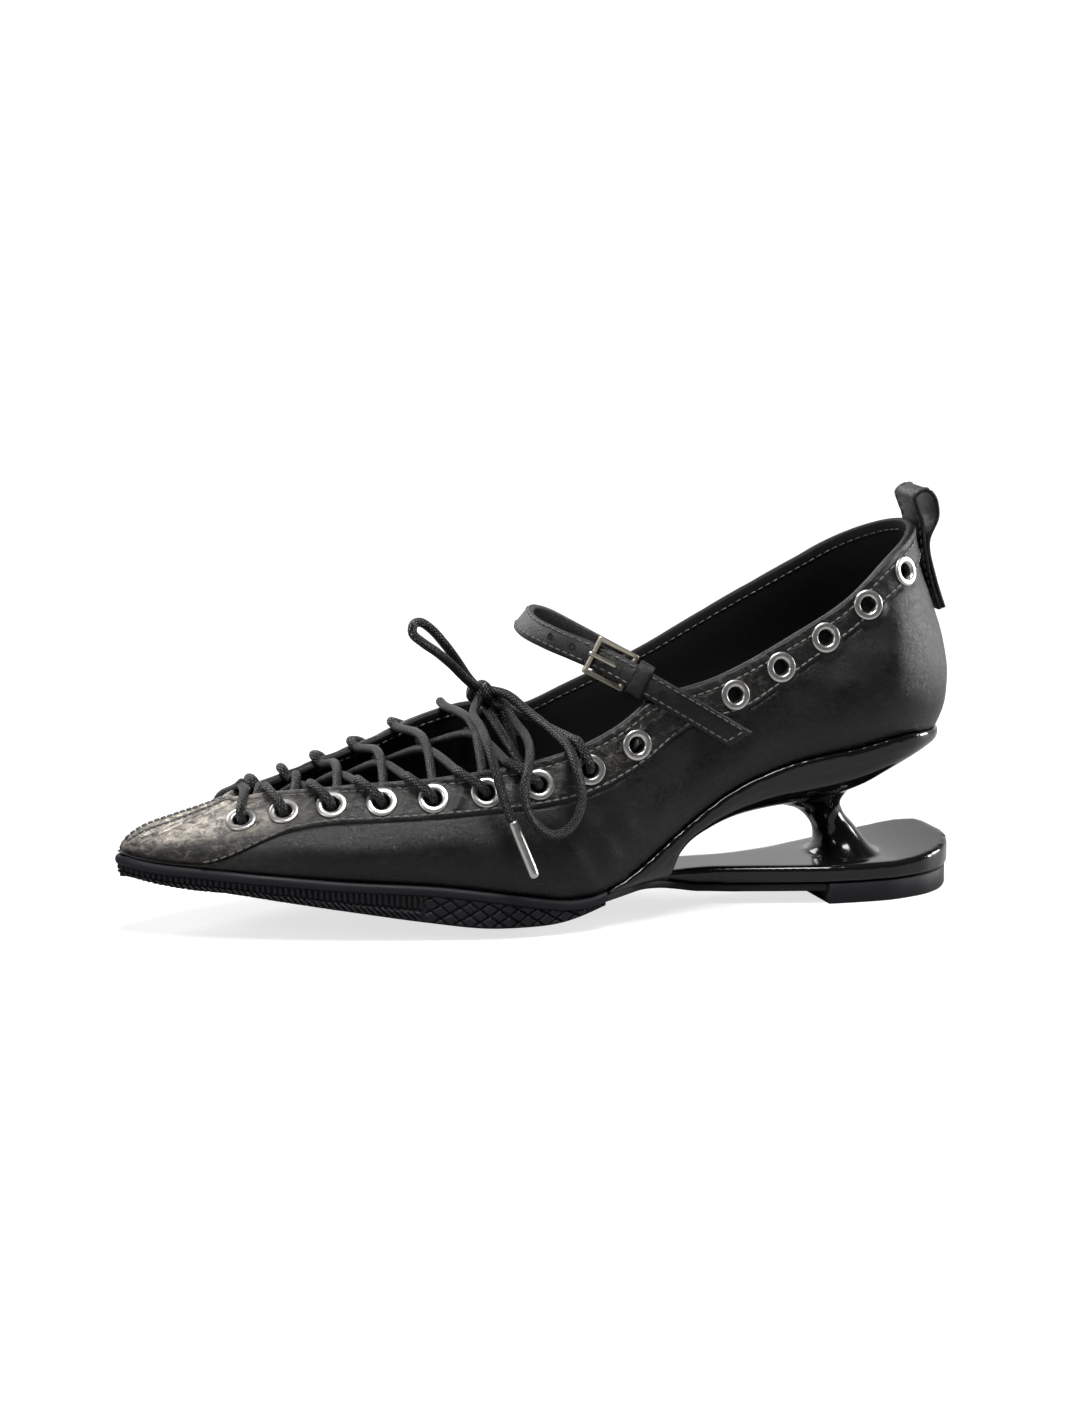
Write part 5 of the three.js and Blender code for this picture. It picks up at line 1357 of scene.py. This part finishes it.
def strap_line(start, end, spacing=0.7, lift=0.0):
    """Strap between two distances from its tail: middle line, tangents, outer normals, across."""
    points = (np.array([HOOP_LENGTH, 0, HOOP_HEIGHT]) + STRAP_ROWS[:, :1] * HOOP_SPAN * np.array([0, 1, 0])
              + STRAP_ROWS[:, 1:] * HOOP_RISE * FORWARD)
    path = through(points, 0.5)
    run = lengths_along(path)
    end = min(end, run[-1])
    at = np.linspace(start, end, max(3, int((end - start) / spacing)))
    line = values_along(at, run, path)
    line = line + ACROSS * (2.8 * step_up(-6, 26, line[:, 1:2]))
    line[:, 2] += steady_curve(SAG_ROWS[:, 0], SAG_ROWS[:, 1])(at) - 1.3 * bell(at - 86, 20)
    line[:, 0] += 1.7 * bell(at - 86, 20)
    tilt = np.radians(steady_curve(SAG_ROWS[:, 0], SAG_ROWS[:, 2])(at))
    across = np.stack([np.cos(tilt), 0 * tilt, np.sin(tilt)], -1)
    tangents = unit(np.gradient(line, axis=0))
    normals = unit(np.cross(across, tangents))
    return line + normals * lift, tangents, normals, across


def strap_frame(distance):
    line, tangents, normals, _ = strap_line(distance - 1, distance + 1, 0.5)
    middle = len(line) // 2
    return line[middle], tangents[middle], normals[middle]


class SHOE_OT_strap(bpy.types.Operator):
    """Lays the instep strap with its slanted tail, stitched edges and holes, the tab and the keeper."""
    bl_idname = "shoe.strap"
    bl_label = "Strap"

    def execute(self, context):
        line, tangents, normals, across = strap_line(4.0, 1e9)
        section = rounded_rectangle(STRAP_THICK, STRAP_WIDTH, 0.7)
        section = np.broadcast_to(section, (len(line),) + section.shape).copy()
        section[..., 0] += 0.18 * (1 - (section[..., 1] / (STRAP_WIDTH / 2)) ** 2) * np.sign(section[..., 0])
        loops = line[:, None] + section[..., :1] * normals[:, None] + section[..., 1:] * across[:, None]
        slant = np.clip(1 - np.arange(len(line)) / 10, 0, 1)[:, None] ** 1.2 * TAIL_SLANT / STRAP_WIDTH
        points, faces = loft(loops - tangents[:, None] * (slant * section[..., 1])[..., None])
        new_piece("strap_leather", points, faces, finish("strap"),
                  stands_for=["strap"], slot="upper_leather")
        seam, face = STRAP_WIDTH / 2 - SEAM_INSET, normals * (STRAP_THICK / 2 + 0.12)
        rows = [((line + across * shift + face - tangents * slant * shift)[3:], normals[3:])
                for shift in (-seam, seam)]
        end = np.linspace(-seam, seam, 8)[:, None]
        tail = line[3] + ACROSS * end + face[3] - tangents[3] * end * TAIL_SLANT / STRAP_WIDTH
        rows.append((tail, np.broadcast_to(normals[3], tail.shape)))
        points, faces = stitches(rows, **EDGE_SEAM)
        new_piece("strap_stitches", points, faces, finish("thread"), slot="upper_leather")
        self.holes()
        self.tab()
        self.keeper()
        return {"FINISHED"}

    def holes(self):
        """Small punched holes: a raised rim with a dark cup."""
        turn = circle(24)
        profile = np.array([(1.05, 1.05), (0.98, 1.22), (0.85, 1.26), (0.72, 1.15),
                            (0.66, 0.7), (0.0, 0.65)])
        parts = []
        for distance in HOLE_PLACES:
            middle, along, normal = strap_frame(distance)
            ring = profile[:, :1, None] * (turn[:, :1] * along + turn[:, 1:] * ACROSS)
            grid = middle + ring + (profile[:, 1:, None] + 0.12) * normal
            parts.append((grid.reshape(-1, 3), [tuple(q) for q in grid_faces(len(profile), len(turn))]))
        points, faces = join_parts(parts)
        new_piece("strap_holes", points, faces, finish("lining"), slot="upper_leather")

    def tab(self):
        """Tab grown out of the collar: leaves the band upward, then runs under the strap to the buckle."""
        side = np.full(TAB_COLUMNS, -1.0)
        ways = way_of(np.linspace(0.533, 0.612, TAB_COLUMNS))
        foot, edge = (dressed(ways, side, k) + skin_normal(ways, side, k) * 0.05
                      for k in (np.full(TAB_COLUMNS, share) for share in (0.80, 0.97)))
        under = -(STRAP_THICK / 2 + 0.3)
        line, tangents, normals, _ = strap_line(36.5, BUCKLE_AT - BUCKLE_LENGTH / 2 + 0.4, 0.6, under)
        width = np.linspace(-0.5, 0.5, TAB_COLUMNS)[:, None] * STRAP_WIDTH * ACROSS
        rows = [hermite(s, foot, 1.6 * (edge - foot), line[0] + width, 7.0 * tangents[0])
                for s in np.linspace(0, 1, 20)]
        outer = np.array(rows + [point + width for point in line[1:]])
        facing = unit(np.cross(np.gradient(outer, axis=1), np.gradient(outer, axis=0)))
        facing = facing * np.sign(np.sum(facing[-1, TAB_COLUMNS // 2] * normals[-1]))
        points, faces = loft(np.concatenate([outer, (outer - facing * TAB_THICK)[:, ::-1]], axis=1))
        new_piece("strap_tab_leather", points, faces, finish("strap"),
                  stands_for=["strap_tab"], slot="upper_leather")
        seam = (outer[:22, 1] + facing[:22, 1] * 0.1, facing[:22, 1])
        points, faces = stitches([seam], length=1.8, pitch=2.4, radius=0.26)
        new_piece("strap_tab_stitches", points, faces, finish("thread"), slot="upper_leather")

    def keeper(self):
        """Closed loop of leather round strap and tab."""
        middle, along, normal = strap_frame(BUCKLE_AT - BUCKLE_LENGTH / 2 - 0.3 - KEEPER_LENGTH / 2)
        top, low = STRAP_THICK / 2 + 0.3, -(STRAP_THICK / 2 + TAB_THICK + 0.6)
        turn = circle(72)
        bent = np.sign(turn) * np.abs(turn) ** 0.45
        y = bent[:, :1] * (STRAP_WIDTH / 2 + 1.2)
        z = bent[:, 1:] * ((top - low) / 2 + 0.7)
        centre = middle + normal * (top + low) / 2
        path = centre + ACROSS * y + normal * z
        face = np.cross(along, unit(np.roll(path, -1, 0) - np.roll(path, 1, 0)))
        face = face * np.sign(np.sum(face * (path - centre), -1, keepdims=True))
        section = rounded_rectangle(1.1, KEEPER_LENGTH, 0.45)
        loops = path[:, None] + section[:, :1] * face[:, None] + section[:, 1:] * along
        faces = grid_faces(len(path), len(section), wrap_rows=True)
        points = loops.reshape(-1, 3)
        new_piece("keeper_leather", points, outward_faces(points - middle, faces), finish("strap"),
                  stands_for=["keeper"], slot="upper_leather")


class SHOE_OT_buckle(bpy.types.Operator):
    """Casts the buckle frame with bevelled bars and bends its prong over the far bar."""
    bl_idname = "shoe.buckle"
    bl_label = "Buckle"

    def execute(self, context):
        middle, along, normal = strap_frame(BUCKLE_AT)
        reach = (BUCKLE_LENGTH - BUCKLE_BAR) / 2
        lean = np.arcsin((STRAP_THICK / 2 + BUCKLE_BAR / 2 + 0.6) / reach)
        x = along * np.cos(lean) + normal * np.sin(lean)
        z = normal * np.cos(lean) - along * np.sin(lean)
        y = np.cross(z, x)
        path = rounded_rectangle(2 * reach, BUCKLE_WIDTH - BUCKLE_BAR, 0.35, 7)
        run = np.roll(path, -1, 0) - np.roll(path, 1, 0)
        flat_out = unit(np.stack([run[:, 1], -run[:, 0]], -1))
        bar = np.array([(-1.0, -0.6), (-0.8, -0.8), (0.1, -0.8), (0.3, -0.6), (0.3, 0.55), (0.1, 0.8),
                        (-0.7, 0.7), (-1.0, 0.35)]) * (1.15, 1.0)
        spot = path[:, None] + bar[:, :1] * flat_out[:, None]
        points = (middle + spot[..., :1] * x + spot[..., 1:] * y + bar[:, 1:] * z).reshape(-1, 3)
        faces = outward_faces(points - middle, grid_faces(len(path), len(bar), wrap_rows=True))
        piece = new_piece("buckle_frame_cast", points, faces, finish("buckle"),
                          stands_for=["buckle_frame"], slot="trim_metal", smooth=False)
        bevel = piece.modifiers.new("edge", "BEVEL")
        bevel.width, bevel.segments = 0.00012, 2
        bend = np.array([(1.5 - reach, -0.2), (3.4 - reach, 0.55), (-1.0, 1.1), (2.5, 1.5),
                         (reach - 1.0, 1.75), (reach + 0.9, 1.7)])
        points, faces = tube(through(middle + bend[:, :1] * x + bend[:, 1:] * z, 0.4), 1.5, 16)
        new_piece("buckle_prong_cast", points, faces, finish("buckle"),
                  stands_for=["buckle_prong"], slot="trim_metal")
        return {"FINISHED"}


LOOP_THICK, LOOP_WIDTH, LOOP_TOP = 1.2, 15.0, 122.0


class SHOE_OT_pull_loop(bpy.types.Operator):
    """Folds the pull loop: a stitched strip over itself, both ends sewn down the back."""
    bl_idname = "shoe.pull_loop"
    bl_label = "Pull loop"

    def execute(self, context):
        first = 0.2 + LOOP_THICK / 2
        second = first + LOOP_THICK + 0.15
        edge = topline(np.array(1.0), np.array(-1.0))
        rise = LOOP_TOP - edge[2]
        rows = [self.back(k, second) for k in (0.56, 0.72, 0.9)]
        bow = ((7.0, 0.5 * rise - 3), (5.6, rise - 2.4), (2.6, rise - 0.6), (-0.6, rise - 2.6),
               (0.2, 0.5 * rise), (1.0 + first, 1.4))
        rows += [edge + (out, 0, up) for out, up in bow]
        rows += [self.back(k, first) for k in (0.9, 0.73, 0.56)]
        path = through(rows, 0.6)
        side = np.array([0.0, 1.0, 0.0])
        normals = unit(np.cross(side, unit(np.gradient(path, axis=0))))
        section = rounded_rectangle(LOOP_THICK, LOOP_WIDTH, 0.45)
        points, faces = loft(path[:, None] + section[:, :1] * normals[:, None] + section[:, 1:] * side)
        new_piece("pull_loop_leather", points, faces, finish("strap"),
                  stands_for=["pull_loop"], slot="upper_leather")
        outer = normals * (-1 if normals[len(path) // 2, 2] < 0 else 1)
        seam = LOOP_WIDTH / 2 - 1.3
        rows = [(path + side * shift + outer * (LOOP_THICK / 2), outer) for shift in (-seam, seam)]
        points, faces = stitches(rows, **EDGE_SEAM)
        new_piece("pull_loop_stitches", points, faces, finish("thread"), slot="upper_leather")
        return {"FINISHED"}

    def back(self, k, lift):
        """Point over the middle of the back."""
        way, side, k = np.array([1.0]), np.array([-1.0]), np.array([k])
        return dressed(way, side, k)[0] + skin_normal(way, side, k)[0] * lift


# Stage

CAMERA_PLACE, CAMERA_TURN, CAMERA_DIP = np.array([-321.459, -1299.405, 326.181]), -19.0, 11.0
FOCAL_PIXELS, PHOTO_HEIGHT, SENSOR = 4714.0, 1428.0, 36.0


class SHOE_OT_stage(bpy.types.Operator):
    """Sets the camera at the photograph's angle, the pale floor and soft studio lights."""
    bl_idname = "shoe.stage"
    bl_label = "Stage"

    def execute(self, context):
        scene = context.scene
        data = bpy.data.cameras.new("camera")
        data.sensor_fit, data.sensor_width, data.sensor_height = "VERTICAL", SENSOR, SENSOR
        data.lens = FOCAL_PIXELS / PHOTO_HEIGHT * SENSOR
        camera = bpy.data.objects.new("camera", data)
        scene.collection.objects.link(camera)
        camera.location = metres(CAMERA_PLACE)
        turn, dip = np.radians(CAMERA_TURN), np.radians(CAMERA_DIP)
        ahead = Vector((-np.sin(turn) * np.cos(dip), np.cos(turn) * np.cos(dip), -np.sin(dip)))
        camera.rotation_euler = ahead.to_track_quat("-Z", "Y").to_euler()
        scene.camera = camera
        mesh = bpy.data.meshes.new("floor")
        size = 6.0
        corners = [(-size, -size, 0), (size, -size, 0), (size, size, 0), (-size, size, 0)]
        mesh.from_pydata(corners, [], [(0, 1, 2, 3)])
        mesh.materials.append(finish("floor"))
        floor = bpy.data.objects.new("floor", mesh)
        scene.collection.objects.link(floor)
        self.light("top", (0.0, -0.4, 1.1), 0.5, 20.0)
        self.light("right", (1.3, 0.05, 0.32), 0.5, 16.0)
        self.light("back", (-0.35, 1.1, 0.9), 0.7, 12.0)
        self.light("left", (-1.3, -0.5, 0.75), 0.4, 6.0)
        scene.view_settings.view_transform = "Standard"
        world = bpy.data.worlds.new("studio")
        scene.world = world
        world.use_nodes = True
        tree = world.node_tree
        background = tree.nodes["Background"]
        ahead = node(tree, "ShaderNodeTexCoord").outputs["Generated"]
        parts = node(tree, "ShaderNodeSeparateXYZ", {0: ahead})
        behind = remap(tree, parts.outputs[1], 0.1, 0.8, 0.0, 1.0)
        low = remap(tree, parts.outputs[2], 0.15, 0.6, 1.0, 0.0)
        glow = math_node(tree, "ADD", product(tree, product(tree, behind, low), 0.9), 0.07)
        seen = node(tree, "ShaderNodeLightPath").outputs["Is Camera Ray"]
        tree.links.new(math_node(tree, "MAXIMUM", glow, seen), background.inputs["Strength"])
        background.inputs["Color"].default_value = (1.0, 1.0, 1.0, 1)
        return {"FINISHED"}

    def light(self, name, place, size, power):
        data = bpy.data.lights.new(name, "AREA")
        data.size, data.energy = size, power
        lamp = bpy.data.objects.new(name, data)
        lamp.location = place
        lamp.rotation_euler = (Vector((0, 0, 0.04)) - Vector(place)).to_track_quat("-Z", "Y").to_euler()
        bpy.context.scene.collection.objects.link(lamp)


class SHOE_PT_panel(bpy.types.Panel):
    """Lists the steps that build the shoe."""
    bl_idname = "SHOE_PT_panel"
    bl_label = "Lace up heel"
    bl_space_type = "VIEW_3D"
    bl_region_type = "UI"
    bl_category = "Shoe"

    def draw(self, context):
        for name in ("lace", "stitch", "tip"):
            self.layout.prop(context.scene.heel_sizes, name)
        self.layout.prop(context.scene.heel_colours, "leather")
        for step in STEPS:
            self.layout.operator(step.bl_idname)


STEPS = (SHOE_OT_stage, SHOE_OT_bow, SHOE_OT_lacing, SHOE_OT_upper, SHOE_OT_seams, SHOE_OT_eyelets,
         SHOE_OT_insole, SHOE_OT_forefoot_sole, SHOE_OT_heel_unit, SHOE_OT_plate_rubber, SHOE_OT_strap,
         SHOE_OT_buckle, SHOE_OT_pull_loop)
CLASSES = (HeelSizes, HeelColours, *STEPS, SHOE_PT_panel)


def register():
    for one in CLASSES:
        bpy.utils.register_class(one)
    bpy.types.Scene.heel_sizes = PointerProperty(type=HeelSizes)
    bpy.types.Scene.heel_colours = PointerProperty(type=HeelColours)


def unregister():
    del bpy.types.Scene.heel_colours
    del bpy.types.Scene.heel_sizes
    for one in reversed(CLASSES):
        bpy.utils.unregister_class(one)


def main():
    register()
    for step in STEPS:
        group, name = step.bl_idname.split(".")
        getattr(getattr(bpy.ops, group), name)()


if __name__ == "__main__":
    main()
